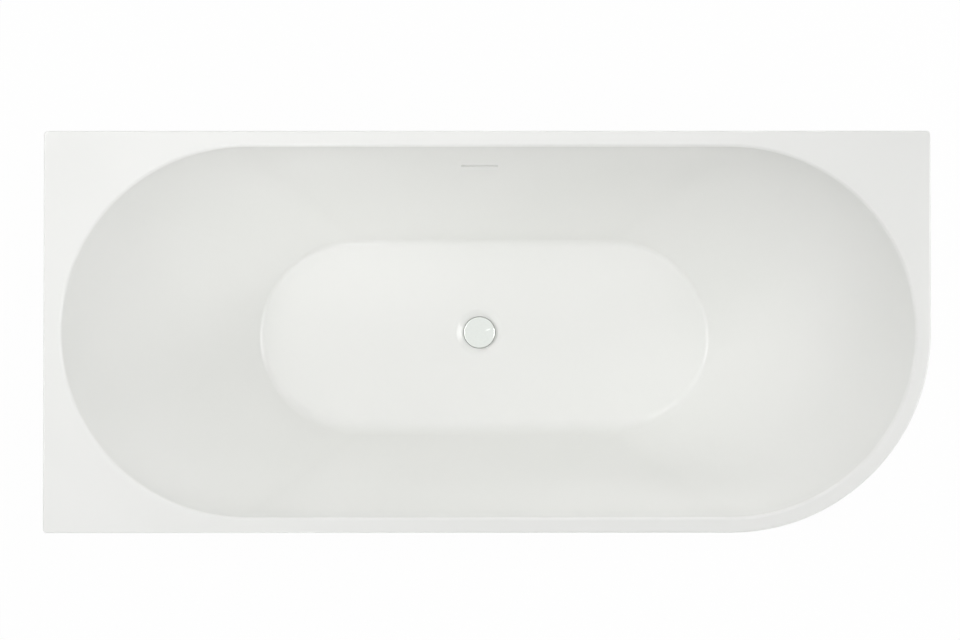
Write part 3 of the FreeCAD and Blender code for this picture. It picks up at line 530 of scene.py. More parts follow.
@dataclass
class Skin:
    """Mesh in the making, in millimetres."""

    points: list[Vector] = field(default_factory=list)
    faces: list[tuple[int, ...]] = field(default_factory=list)

    def wrap(self, rings: list[Ring], place: Matrix, closed: bool) -> None:
        """Join rings of equal length by four-sided faces.

        Args:
            rings: The rings in order.
            place: Where the form stands.
            closed: Joins the last ring to the first; otherwise each end gets a face.
        """
        count = len(rings[0])
        base = len(self.points)
        starts = [base + count * index for index in range(len(rings))]
        self.points += [place @ point for ring in rings for point in ring]
        for low, high in zip(starts, starts[1:] + (starts[:1] if closed else [])):
            for step in range(count):
                after = (step + 1) % count
                self.faces.append((low + step, low + after, high + after, high + step))
        if not closed:
            self.faces.append(tuple(range(starts[0], starts[0] + count)))
            self.faces.append(tuple(range(starts[-1], starts[-1] + count)))

    def form(self, name: str) -> bpy.types.Object:
        """Make the object.

        Args:
            name: Name of the object.

        Returns:
            The object, its faces turned outwards.
        """
        mesh = bpy.data.meshes.new(name)
        mesh.from_pydata([point * MM for point in self.points], [], self.faces)
        body = bmesh.new()
        body.from_mesh(mesh)
        bmesh.ops.recalc_face_normals(body, faces=body.faces)
        body.to_mesh(mesh)
        body.free()
        made = bpy.data.objects.new(name, mesh)
        bpy.context.scene.collection.objects.link(made)
        return made


def wrapped(name: str, rings: list[Ring], place: Matrix, closed: bool) -> bpy.types.Object:
    """Make an object of one set of rings, as Skin.wrap and Skin.form say."""
    skin = Skin()
    skin.wrap(rings, place, closed)
    return skin.form(name)


def carve(form: bpy.types.Object, cutter: bpy.types.Object) -> None:
    """Cut a form out of another.

    Args:
        form: What is cut.
        cutter: The form that is taken out of it, and removed.
    """
    cut = form.modifiers.new("cut", "BOOLEAN")
    cut.object = cutter
    cut.operation = "DIFFERENCE"
    cut.solver = "EXACT"
    view = bpy.context.evaluated_depsgraph_get()
    mesh = bpy.data.meshes.new_from_object(form.evaluated_get(view))
    form.modifiers.remove(cut)
    form.data = mesh
    bpy.data.objects.remove(cutter)


def settle(form: bpy.types.Object, body: str, slot: str, *nodes: str, crease_deg: float = 32.0) -> None:
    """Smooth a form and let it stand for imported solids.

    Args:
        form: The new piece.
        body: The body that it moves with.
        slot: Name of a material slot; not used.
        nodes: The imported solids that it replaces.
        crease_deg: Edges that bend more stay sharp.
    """
    form.data.shade_smooth()
    form.data.set_sharp_from_angle(angle=math.radians(crease_deg))
    weighted = form.modifiers.new("even_normals", "WEIGHTED_NORMAL")
    weighted.keep_sharp = True
    weighted.weight = FULL_WEIGHT
    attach(form, body)
    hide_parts(*nodes)
    LOG.info("%s stands for %s", form.name, ", ".join(nodes))


def solid(name: str) -> bpy.types.Object:
    """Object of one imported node."""
    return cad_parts[name]


def boxes(name: str) -> list[tuple[Vector, Vector]]:
    """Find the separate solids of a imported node.

    Args:
        name: The node.

    Returns:
        Lowest and highest corner of each, in millimetres.
    """
    body = bmesh.new()
    body.from_mesh(solid(name).data)
    bmesh.ops.remove_doubles(body, verts=body.verts, dist=TINY)
    left = set(body.verts)
    found = []
    while left:
        group = {left.pop()}
        edge_of_group = set(group)
        while edge_of_group:
            edge_of_group = {
                edge.other_vert(vertex) for vertex in edge_of_group for edge in vertex.link_edges
            } & left
            left -= edge_of_group
            group |= edge_of_group
        places = [vertex.co / MM for vertex in group]
        low = Vector([min(place[axis] for place in places) for axis in range(3)])
        high = Vector([max(place[axis] for place in places) for axis in range(3)])
        found.append((low, high))
    body.free()
    return sorted(found, key=lambda corners: tuple(corners[0]))


def axis_of(low: Vector, high: Vector) -> Matrix:
    """Place of the upright axis through the middle of a box."""
    return Matrix.Translation(((low.x + high.x) / 2, (low.y + high.y) / 2, 0))


# Shell


class Side(Enum):
    """Sides of the tub."""

    LEFT = "left"
    RIGHT = "right"
    FRONT = "front"
    BACK = "back"


def by_side(left: float, right: float, front: float, back: float) -> dict[Side, float]:
    """Put a size down for each side."""
    return {Side.LEFT: left, Side.RIGHT: right, Side.FRONT: front, Side.BACK: back}


@dataclass(frozen=True)
class Station:
    """One place around the basin: a share of a straight side, or a direction at a round end."""

    side: Side
    at: float


@dataclass
class BathShell:
    """Acrylic shell with its rim, and the fibre layer sprayed on its underside."""

    acrylic: Finish
    fibre: Finish
    length: float = 1700.0
    width: float = 770.0
    rim_z: float = 580.0
    depth: float = 430.0
    sheet: float = 5.0
    rim_drop: float = 30.0
    edge_radius: float = 3.5
    edge_slack: float = 0.01  # keeps the flat of the rim from shrinking to nothing
    corner_radius: float = 7.0
    lip_radius: float = 7.0
    wall_curve: float = 1.3
    waste_x: float = -15.0
    dish: tuple[float, float, float, float] = (51.0, 37.0, 4.0, 20.0)
    waste_hole: float = 26.0
    slot_size: Span = (74.0, 7.0)
    slot_z: float = 472.0
    rim: dict[Side, float] = field(default_factory=lambda: by_side(34.0, 30.0, 30.0, 30.0))
    run: dict[Side, float] = field(default_factory=lambda: by_side(323.5, 337.5, 143.0, 157.0))
    roll: dict[Side, float] = field(default_factory=lambda: by_side(18.0, 18.0, 42.0, 20.0))
    straight_steps: int = 28
    end_steps: int = 72
    corner_steps: int = 6
    edge_steps: int = 6
    lip_steps: int = 8
    wall_steps: int = 44
    roll_steps: int = 12
    slot_steps: int = 24
    fit_rounds: int = 30  # enough to find where the rolls touch the wall
    least_turn: float = 0.008  # radians between an even station and one of a corner
    turn_slack: float = 0.001  # radians by which a corner may lie before the first station

    def slope(self, side: Side, depth: float) -> float:
        """How far a wall moves inwards for each millimetre of depth."""
        steepness = self.run[side] * self.wall_curve / self.depth
        return steepness * (depth / self.depth) ** (self.wall_curve - 1)

    def inset(self, side: Side, depth: float) -> float:
        """How far a wall has come in from the lip at a depth."""
        return self.run[side] * (depth / self.depth) ** self.wall_curve

    def section(self, side: Side) -> Profile:
        """Draw the inner face of one wall, from the rim over the lip down to the floor.

        Args:
            side: The wall.

        Returns:
            Inset from the lip line and depth below the rim of each point.
        """
        lip_end = self.lip_radius
        roll_start = self.depth
        for _ in range(self.fit_rounds):
            lean = math.atan(self.slope(side, lip_end))
            lip_reach = self.lip_radius * math.tan(math.pi / 4 - lean / 2)
            lip_end = lip_reach * math.cos(lean)
            low_lean = math.atan(self.slope(side, roll_start))
            roll_reach = self.roll[side] * math.tan(math.pi / 4 - low_lean / 2)
            roll_start = self.depth - roll_reach * math.cos(low_lean)
        brow = Vector((self.inset(side, lip_end) - lip_end * math.tan(lean), 0))
        foot_in = self.inset(side, roll_start) + (self.depth - roll_start) * math.tan(low_lean)
        foot = Vector((foot_in, self.depth))
        lip_foot = Vector((self.inset(side, lip_end), lip_end))
        roll_top = Vector((self.inset(side, roll_start), roll_start))
        lip_weight = math.cos(math.pi / 4 - lean / 2)
        roll_weight = math.cos(math.pi / 4 - low_lean / 2)
        lip = arc(brow - Vector((lip_reach, 0)), brow, lip_foot, lip_weight, self.lip_steps)
        roll = arc(roll_top, foot, foot + Vector((roll_reach, 0)), roll_weight, self.roll_steps)
        fall = roll_start - lip_end
        depths = [lip_end + fall * step / self.wall_steps for step in range(1, self.wall_steps)]
        return lip + [(self.inset(side, depth), depth) for depth in depths] + roll

    def underside(self, section: Profile) -> Profile:
        """Move a section out by the thickness of the sheet.

        Args:
            section: Inner face of a wall.

        Returns:
            Its outer face, with as many points.
        """
        moved: Profile = []
        last = len(section) - 1
        for index, (across, down) in enumerate(section):
            ahead = Vector(section[min(index + 1, last)])
            way = (ahead - Vector(section[max(index - 1, 0)])).normalized()
            if index == 0 or index == last:
                way = Vector((1, 0))
            moved.append((across - way.y * self.sheet, down + way.x * self.sheet))
        return moved

    def lip_line(self, side: Side) -> float:
        """Place of the lip line of one side along its axis."""
        half = (self.length if side in (Side.LEFT, Side.RIGHT) else self.width) / 2
        reach = half - self.rim[side]
        return -reach if side in (Side.LEFT, Side.FRONT) else reach

    def corners(self) -> dict[Side, list[Vector]]:
        """Middles of the small arcs at the square corners, by the end that they are at."""
        x = self.length / 2 - self.corner_radius
        y = self.width / 2 - self.corner_radius
        return {
            Side.RIGHT: [Vector((x, y, 0))],
            Side.LEFT: [Vector((-x, y, 0)), Vector((-x, -y, 0))],
        }

    def end_middle(self, side: Side) -> Vector:
        """Middle of the half circle that the lip makes at one end."""
        radius = (self.lip_line(Side.BACK) - self.lip_line(Side.FRONT)) / 2
        inwards = -radius if side is Side.RIGHT else radius
        return Vector((self.lip_line(side) + inwards, 0, 0))

    def tips(self, side: Side, first: float) -> list[float]:
        """Directions of the points on the square corners of one end.

        Args:
            side: The end.
            first: Direction in which the end starts.

        Returns:
            Angles as seen from the middle of the end, none before the first direction.
        """
        angles: list[float] = []
        for corner in self.corners()[side]:
            base = math.floor(math.atan2(corner.y, corner.x) / QUARTER) * QUARTER
            for step in range(self.corner_steps + 1):
                spoke = polar(1, base + QUARTER * step / self.corner_steps, 0)
                tip = corner + self.corner_radius * spoke - self.end_middle(side)
                angle = math.atan2(tip.y, tip.x)
                angles.append(angle if angle >= first - self.turn_slack else angle + math.tau)
        return angles

    def stations(self) -> list[Station]:
        """Places around the basin, closer together where the rim turns a square corner."""
        turns: dict[Side, list[float]] = {}
        for side, first in ((Side.RIGHT, -QUARTER), (Side.LEFT, QUARTER)):
            even = [first + math.pi * step / self.end_steps for step in range(self.end_steps + 1)]
            tips = self.tips(side, first)
            clear = [angle for angle in even if all(abs(angle - tip) > self.least_turn for tip in tips)]
            turns[side] = sorted(clear + tips)
        shares = [step / self.straight_steps for step in range(1, self.straight_steps)]
        return (
            [Station(Side.FRONT, share) for share in shares]
            + [Station(Side.RIGHT, angle) for angle in turns[Side.RIGHT]]
            + [Station(Side.BACK, share) for share in shares]
            + [Station(Side.LEFT, angle) for angle in turns[Side.LEFT]]
        )

    def basin_ring(self, cut: dict[Side, tuple[float, float]]) -> Ring:
        """Level outline of the basin.

        Args:
            cut: Inset and depth at each side.

        Returns:
            A point for each station.
        """
        left = self.lip_line(Side.LEFT) + cut[Side.LEFT][0]
        right = self.lip_line(Side.RIGHT) - cut[Side.RIGHT][0]
        front = self.lip_line(Side.FRONT) + cut[Side.FRONT][0]
        back = self.lip_line(Side.BACK) - cut[Side.BACK][0]
        radius = (back - front) / 2
        middle = (back + front) / 2
        west = left + radius
        east = right - radius
        ring: Ring = []
        for station in self.stations():
            if station.side in (Side.FRONT, Side.BACK):
                y = front if station.side is Side.FRONT else back
                share = station.at if station.side is Side.FRONT else 1 - station.at
                ring.append(Vector((west + (east - west) * share, y, self.rim_z - cut[station.side][1])))
                continue
            across, along = math.cos(station.at), math.sin(station.at)
            beside = cut[Side.BACK if along > 0 else Side.FRONT][1]
            depth = across**2 * cut[station.side][1] + along**2 * beside
            x = (east if station.side is Side.RIGHT else west) + radius * across
            ring.append(Vector((x, middle + radius * along, self.rim_z - depth)))
        return ring

    def rim_points(self) -> list[tuple[Vector, Vector]]:
        """Outer edge of the rim.

        Returns:
            Place in plan and outward direction for each station.
        """
        half_length, half_width = self.length / 2, self.width / 2
        reach = half_width - self.rim[Side.FRONT]
        points = []
        for station, lip in zip(self.stations(), self.basin_ring({side: (0.0, 0.0) for side in Side})):
            if station.side in (Side.FRONT, Side.BACK):
                way = Vector((0, -1 if station.side is Side.FRONT else 1, 0))
                points.append((Vector((lip.x, way.y * half_width, 0)), way))
                continue
            middle = self.end_middle(station.side)
            ray = polar(1, station.at, 0)
            if station.side is Side.RIGHT and ray.y <= 0:
                points.append((middle + ray * (reach + self.rim[Side.FRONT]), ray))
                continue
            edge = half_length if station.side is Side.RIGHT else -half_length
            to_end = (edge - middle.x) / ray.x if abs(ray.x) > TINY else math.inf
            to_side = half_width / abs(ray.y) if abs(ray.y) > TINY else math.inf
            tip = middle + ray * min(to_end, to_side)
            way = Vector((math.copysign(1, ray.x), 0, 0))
            if to_side < to_end:
                way = Vector((0, math.copysign(1, ray.y), 0))
            for corner in self.corners()[station.side]:
                past_x = (tip.x - corner.x) * math.copysign(1, corner.x)
                past_y = (tip.y - corner.y) * math.copysign(1, corner.y)
                if past_x > 0 and past_y > 0:
                    along = (corner - middle).dot(ray)
                    off = (corner - middle - ray * along).length
                    tip = middle + ray * (along + math.sqrt(max(self.corner_radius**2 - off**2, 0)))
                    way = (tip - corner).normalized()
            points.append((tip, way))
        return points

    def rim_ring(self, inset: float, z: float) -> Ring:
        """Outline of the rim, moved in by a distance, at a height."""
        return [tip - way * inset + Vector((0, 0, z)) for tip, way in self.rim_points()]

    def waste_ring(self, radius: float, z: float, guide: Ring) -> Ring:
        """Circle about the waste, with a point below each point of a guide ring."""
        middle = Vector((self.waste_x, 0, z))
        return [middle + Vector((p.x - middle.x, p.y, 0)).normalized() * radius for p in guide]

    def shape(self) -> bpy.types.Object:
        """Build the shell.

        Returns:
            The shell with its slot.
        """
        inside = {side: self.section(side) for side in Side}
        outside = {side: self.underside(section) for side, section in inside.items()}
        last = len(inside[Side.LEFT]) - 1
        walls = [self.basin_ring({side: inside[side][i] for side in Side}) for i in range(last + 1)]
        every_other = [*range(0, last, 2), last]
        backs = [self.basin_ring({side: outside[side][i] for side in Side}) for i in every_other]
        floor = walls[-1]
        floor_z = self.rim_z - self.depth
        dish_top, dish_flat, dish_depth, dish_roll = self.dish
        low = floor_z - dish_depth
        bowl = rounded(
            [
                (self.waste_hole, low, 0),
                (dish_flat, low, dish_roll),
                (dish_top, floor_z, dish_roll),
                (dish_top + 2 * self.sheet, floor_z, 0),
            ]
        )
        edge = rounded(
            [
                (self.edge_radius, self.rim_z, 0),
                (0, self.rim_z, self.edge_radius - self.edge_slack),
                (0, self.rim_z - self.rim_drop, 0),
                (self.sheet, self.rim_z - self.rim_drop, 0),
                (self.sheet, self.rim_z - self.sheet, 0),
            ],
            self.edge_steps,
        )
        rings = [self.waste_ring(self.waste_hole, low - self.sheet, floor)]
        rings += [self.waste_ring(radius, z, floor) for radius, z in bowl]
        rings += walls[::-1]
        rings += [self.rim_ring(inset, z) for inset, z in edge[1:]]
        rings += backs
        boss = dish_top + self.sheet
        rings += [self.waste_ring(boss, z - self.sheet, floor) for z in (floor_z, low)]
        shell = wrapped("bath_shell_skin", rings, Matrix.Identity(4), True)
        carve(shell, self.slot_cutter())
        return shell

    def slot_cutter(self) -> bpy.types.Object:
        """Form of the overflow slot, level through the back wall."""
        width, height = self.slot_size
        radius = height / 2
        wall = self.lip_line(Side.BACK) - self.inset(Side.BACK, self.rim_z - self.slot_z)
        reach = 4 * height
        outline = []
        for step in range(self.slot_steps):
            angle = math.tau * (step + 0.5) / self.slot_steps
            across = math.copysign(width / 2 - radius, math.cos(angle)) + radius * math.cos(angle)
            outline.append((self.waste_x + across, self.slot_z + radius * math.sin(angle)))
        rings = [[Vector((x, y, z)) for x, z in outline] for y in (wall - reach, wall + reach)]
        return wrapped("slot_cutter", rings, Matrix.Identity(4), False)

    def build(self) -> None:
        """Build and dress the shell and its backing."""
        shell = self.shape()
        settle(shell, "tub", "acrylic", "bath_shell")
        self.acrylic.dress(shell)
        self.fibre.dress(solid("shell_backing"))
        LOG.info("shell_backing dressed")


# Apron and the frame under the tub


@dataclass
class ScrewForm:
    """Pan-head screw with a cross recess, head up, its seat at the origin."""

    head_radius: float = 4.8
    head_height: float = 2.6
    head_rounding: float = 0.7  # share of the height that is rounded
    head_steps: int = 6
    shank_radius: float = 2.4
    point_radius: float = 0.4
    point_length: float = 3.0
    cross: tuple[float, float, float] = (2.6, 0.55, 1.5)
    cross_taper: float = 0.62  # size of the recess at its bottom, as a share of its mouth
    segments: int = 48

    def rings(self, depth: float) -> list[Ring]:
        """Draw the screw from its point up to the bottom of its recess.

        Args:
            depth: How far it goes in below its seat.

        Returns:
            The rings, open at both ends.
        """
        head = rounded(
            [
                (self.shank_radius, 0.0, 0.0),
                (self.head_radius, 0.0, 0.0),
                (self.head_radius, self.head_height, self.head_height * self.head_rounding),
                (self.cross[0], self.head_height, 0.0),
            ],
            self.head_steps,
        )
        shaft = [(self.point_radius, -depth), (self.shank_radius, self.point_length - depth)]
        rings = turned(shaft + head[:-1], self.segments)
        reach, half, deep = self.cross
        for share, z in ((1.0, self.head_height), (self.cross_taper, self.head_height - deep)):
            ring = []
            for step in range(self.segments):
                angle = math.tau * (step + 0.5) / self.segments
                x, y = abs(math.cos(angle)), abs(math.sin(angle))
                radius = share * max(min(reach / x, half / y), min(half / x, reach / y))
                ring.append(polar(radius, angle, z))
            rings.append(ring)
        return rings


def drive(node_name: str, finish: Finish, down: bool) -> None:
    """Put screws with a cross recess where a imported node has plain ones, all as one piece.

    Args:
        node_name: The node with the plain screws.
        finish: What the screws are made of.
        down: Upright screws point down, with the head on top.
    """
    form = ScrewForm()
    skin = Skin()
    for low, high in boxes(node_name):
        middle = (low + high) / 2
        reach = high - low
        if reach.z > reach.y:
            seat_z = high.z - form.head_height if down else low.z + form.head_height
            seat = Vector((middle.x, middle.y, seat_z))
            turn = Matrix.Identity(4) if down else Matrix.Rotation(math.pi, 4, "X")
            depth = reach.z - form.head_height
        else:
            seat = Vector((middle.x, high.y - form.head_height, middle.z))
            turn = Matrix.Rotation(-QUARTER, 4, "X")
            depth = reach.y - form.head_height
        skin.wrap(form.rings(depth), Matrix.Translation(seat) @ turn, False)
    screws = skin.form(f"{node_name}_cross")
    settle(screws, "tub", "screw_steel", node_name)
    finish.dress(screws)


@dataclass
class Apron:
    """Skirt with its wood strips, and the angles that hold it to the bars."""

    acrylic: Finish
    zinc: Finish
    galvanised: Finish

    def build(self) -> None:
        """Dress the skirt and its strips, and build the screws."""
        self.acrylic.dress(solid("apron_panel"))
        PlanedSoftwood(grain=Grain.ALONG_X).dress(solid("apron_batten_front"))
        PlanedSoftwood(grain=Grain.ALONG_Y).dress(solid("apron_batten_end"))
        self.galvanised.dress(solid("apron_brackets"))
        drive("bracket_screws", self.zinc, down=True)
        LOG.info("apron, battens and brackets dressed")


@dataclass
class LegFrame:
    """Board under the basin and the two steel bars across it."""

    board: Finish
    zinc: Finish
    galvanised: Finish

    def build(self) -> None:
        """Dress the board and the bars, and build the screws."""
        self.board.dress(solid("baseboard"))
        self.galvanised.dress(solid("leg_bar_left"), solid("leg_bar_right"))
        drive("leg_bar_screws", self.zinc, down=False)
        LOG.info("baseboard and bars dressed")


@dataclass
class LevellingFeet:
    """Threaded studs with their pads, nuts and locknuts."""

    zinc: Finish
    plastic: Finish
    stud_radius: float = 6.0
    thread_depth: float = 0.95
    thread_root: float = 0.3  # how far the ridge reaches into the core
    thread_foot: float = 0.45  # half the ridge's width at its foot, as a share of the pitch
    thread_crest: float = 0.08  # the same at its crest
    thread_segments: int = 20
    stud_crease_deg: float = 25.0
    pitch: float = 1.75
    chamfer: float = 1.2
    flats: float = 19.0
    face_share: float = 0.97  # round face of a nut, as a share of the width over its flats
    bore: float = 6.3
    bore_chamfer: float = 0.5
    nut_segments: int = 72
    names: tuple[str, ...] = ("front_left", "back_left", "front_right", "back_right")

    def stud(self, name: str) -> None:
        """Build one threaded stud.

        Args:
            name: Which foot.
        """
        low, high = boxes(f"foot_stud_{name}")[0]
        core = self.stud_radius - self.thread_depth
        rod = [
            (core - self.chamfer, low.z),
            (core, low.z + self.chamfer),
            (core, high.z - self.chamfer),
            (core - self.chamfer, high.z),
        ]
        skin = Skin()
        skin.wrap(turned(rod, self.thread_segments), axis_of(low, high), False)
        thread = self.thread(low.z + self.chamfer, high.z - self.chamfer)
        skin.wrap(thread, axis_of(low, high), False)
        piece = skin.form(f"foot_stud_{name}_threaded")
        node_name = f"foot_stud_{name}"
        settle(piece, f"foot_{name}", "screw_steel", node_name, crease_deg=self.stud_crease_deg)
        self.zinc.dress(piece)

    def thread(self, low: float, high: float) -> list[Ring]:
        """Draw the ridge that winds up a stud.

        Args:
            low: Height at which it starts.
            high: Height at which it ends.

        Returns:
            Sections of the ridge, from its lower to its upper end.
        """
        core = self.stud_radius - self.thread_depth
        root = core - self.thread_root
        half_turn = self.thread_segments // 2
        foot, top = self.thread_foot * self.pitch, self.thread_crest * self.pitch
        steps = round((high - low - self.pitch) / self.pitch * self.thread_segments)
        sections = []
        for step in range(steps + 1):
            angle = math.tau * step / self.thread_segments
            z = low + self.pitch / 2 + self.pitch * step / self.thread_segments
            run_out = min(step, steps - step, half_turn) / half_turn
            crest = core + self.thread_depth * run_out
            outline = [(root, z - foot), (crest, z - top), (crest, z + top), (root, z + foot)]
            sections.append([polar(radius, angle, height) for radius, height in outline])
        return sections

    def nut_rings(self, low: float, high: float) -> list[Ring]:
        """Draw a nut with the round chamfer of its six corners.

        Args:
            low: Height of its lower face.
            high: Height of its upper face.

        Returns:
            Rings from the lower end of the bore, outside, to its upper end.
        """
        face = self.flats / 2 * self.face_share
        mouth = self.bore + self.bore_chamfer
        angles = [math.tau * step / self.nut_segments for step in range(self.nut_segments)]
        hexagon = [self.flats / 2 / math.cos(angle % HEX_TURN - HEX_TURN / 2) for angle in angles]
        fall = [(radius - face) * math.tan(HEX_TURN / 2) for radius in hexagon]

        def level(radius: float, z: float) -> Ring:
            """Circle at a height."""
            return [polar(radius, angle, z) for angle in angles]

        def flank(base: float, sign: int) -> Ring:
            """Edge of the six flats, where the chamfer meets them."""
            return [polar(r, a, base + sign * drop) for a, r, drop in zip(angles, hexagon, fall)]

        return [
            level(self.bore, low + self.bore_chamfer),
            level(mouth, low),
            level(face, low),
            flank(low, 1),
            flank(high, -1),
            level(face, high),
            level(mouth, high),
            level(self.bore, high - self.bore_chamfer),
        ]

    def nuts(self, node_name: str) -> None:
        """Build the nuts of one node.

        Args:
            node_name: The node with the plain nuts.
        """
        skin = Skin()
        for low, high in boxes(node_name):
            skin.wrap(self.nut_rings(low.z, high.z), axis_of(low, high), True)
        piece = skin.form(f"{node_name}_chamfered")
        settle(piece, "tub", "screw_steel", node_name)
        self.zinc.dress(piece)

    def build(self) -> None:
        """Build and dress the studs and nuts, and dress the pads."""
        for name in self.names:
            self.stud(name)
            self.plastic.dress(solid(f"foot_pad_{name}"))
            LOG.info("foot_pad_%s dressed", name)
        self.nuts("foot_nuts")
        self.nuts("foot_locknuts")


# Waste and overflow


@dataclass
class WasteFitting:
    """Push cap with its cartridge, the flange in the dish and the outlet body below."""

    chrome: Finish
    wire: Finish
    rubber: Finish
    plastic: Finish
    cap_radius: float = 34.0
    cap_thickness: float = 4.0
    cap_dome: float = 2.0
    cap_pole: float = 1.0  # radius of the small flat in the middle of the dome
    cap_border: float = 4.0  # width left for the rounded edge, with the pole
    cap_rise: float = 0.1
    cap_edge: float = 1.8
    cap_steps: int = 9
    cap_crease_deg: float = 50.0
    edge_steps: int = 6
    skirt: float = 3.0
    skirt_wall: float = 1.4
    skirt_edge: float = 0.4
    skirt_root: float = 0.6
    gasket_hole: float = 26.0
    # The gasket reaches just past the cap's edge, so its black rubber shows as a thin dark ring: painted
    # shadow of the gap around the cap.
    painted_shadow_lip: float = 34.9
    gasket_edge: float = 0.4
    gasket_steps: int = 5
    segments: int = 96

    def cap(self) -> None:
        """Build the domed cap."""
        low, high = boxes("waste_cap")[0]
        under = low.z + self.skirt
        shoulder = under + self.cap_thickness
        sphere = (self.cap_radius**2 + self.cap_dome**2) / (2 * self.cap_dome)
        dome = []
        for step in range(self.cap_steps + 1):
            radius = self.cap_pole + (self.cap_radius - self.cap_border) * step / self.cap_steps
            dome.append((radius, shoulder + self.cap_dome - sphere + math.sqrt(sphere**2 - radius**2)))
        inside = self.cap_radius - self.skirt_wall
        edge = rounded(
            [
                (*dome[-1], 0.0),
                (self.cap_radius, shoulder + self.cap_rise, self.cap_edge),
                (self.cap_radius, low.z, self.skirt_edge),
                (inside, low.z, self.skirt_edge),
                (inside, under, self.skirt_root),
                (self.cap_pole, under, 0.0),
            ],
            self.edge_steps,
        )
        rings = turned(dome + edge[1:], self.segments)
        piece = wrapped("waste_cap_polished", rings, axis_of(low, high), False)
        settle(piece, "cap", "chrome", "waste_cap", crease_deg=self.cap_crease_deg)
        self.chrome.dress(piece)

    def gasket(self) -> None:
        """Build the gasket under the flange, its lip reaching just past the cap as a thin black ring:
        painted shadow of the gap around the cap.
        """
        low, high = boxes("flange_seal")[0]
        section = rounded(
            [
                (self.gasket_hole, low.z, 0.0),
                (self.painted_shadow_lip, low.z, 0.0),
                (self.painted_shadow_lip, high.z, self.gasket_edge),
                (self.gasket_hole, high.z, 0.0),
            ],
            self.gasket_steps,
        )
        rings = turned(section, self.segments)
        piece = wrapped("flange_seal_lipped", rings, axis_of(low, high), True)
        settle(piece, "tub", "seal_rubber", "flange_seal")
        self.rubber.dress(piece)

    def build(self) -> None:
        """Build the cap and the gasket, and dress the other pieces."""
        self.cap()
        self.gasket()
        self.chrome.dress(solid("waste_flange"), solid("cartridge_sleeve"), solid("cartridge_stud"))
        self.wire.dress(solid("cartridge_spring"))
        self.rubber.dress(solid("body_seal"), solid("cap_seal"))
        self.plastic.dress(solid("waste_body"))
        LOG.info("waste dressed")


@dataclass
class OverflowFitting:
    """Collector behind the slot and the pipe down to the waste."""

    plastic: Finish
    pipe: Finish
    rubber: Finish

    def build(self) -> None:
        """Dress the pieces."""
        self.plastic.dress(solid("overflow_box"), solid("pipe_nuts"))
        self.pipe.dress(solid("overflow_pipe"))
        self.rubber.dress(solid("overflow_gasket"), solid("pipe_seals"))
        LOG.info("overflow dressed")


# Studio


@dataclass(frozen=True)
class SoftBox:
    """One lamp behind a cloth front, aimed at the tub's middle or another place, in metres."""

    name: str
    place: Place
    size: Span
    watts: float
    aim: Place = (0.0, 0.0, 0.4)
    spread_deg: float = 180.0  # a grid on the front narrows it

    def hang(self) -> None:
        """Hang the lamp, turned to what it lights."""
        lamp = bpy.data.lights.new(self.name, "AREA")
        lamp.shape = "RECTANGLE"
        lamp.size, lamp.size_y = self.size
        lamp.energy = self.watts
        lamp.spread = math.radians(self.spread_deg)
        holder = bpy.data.objects.new(self.name, lamp)
        holder.location = self.place
        way = Vector(self.aim) - Vector(self.place)
        holder.rotation_euler = way.to_track_quat("-Z", "Y").to_euler()
        holder.visible_camera = False
        bpy.context.scene.collection.objects.link(holder)


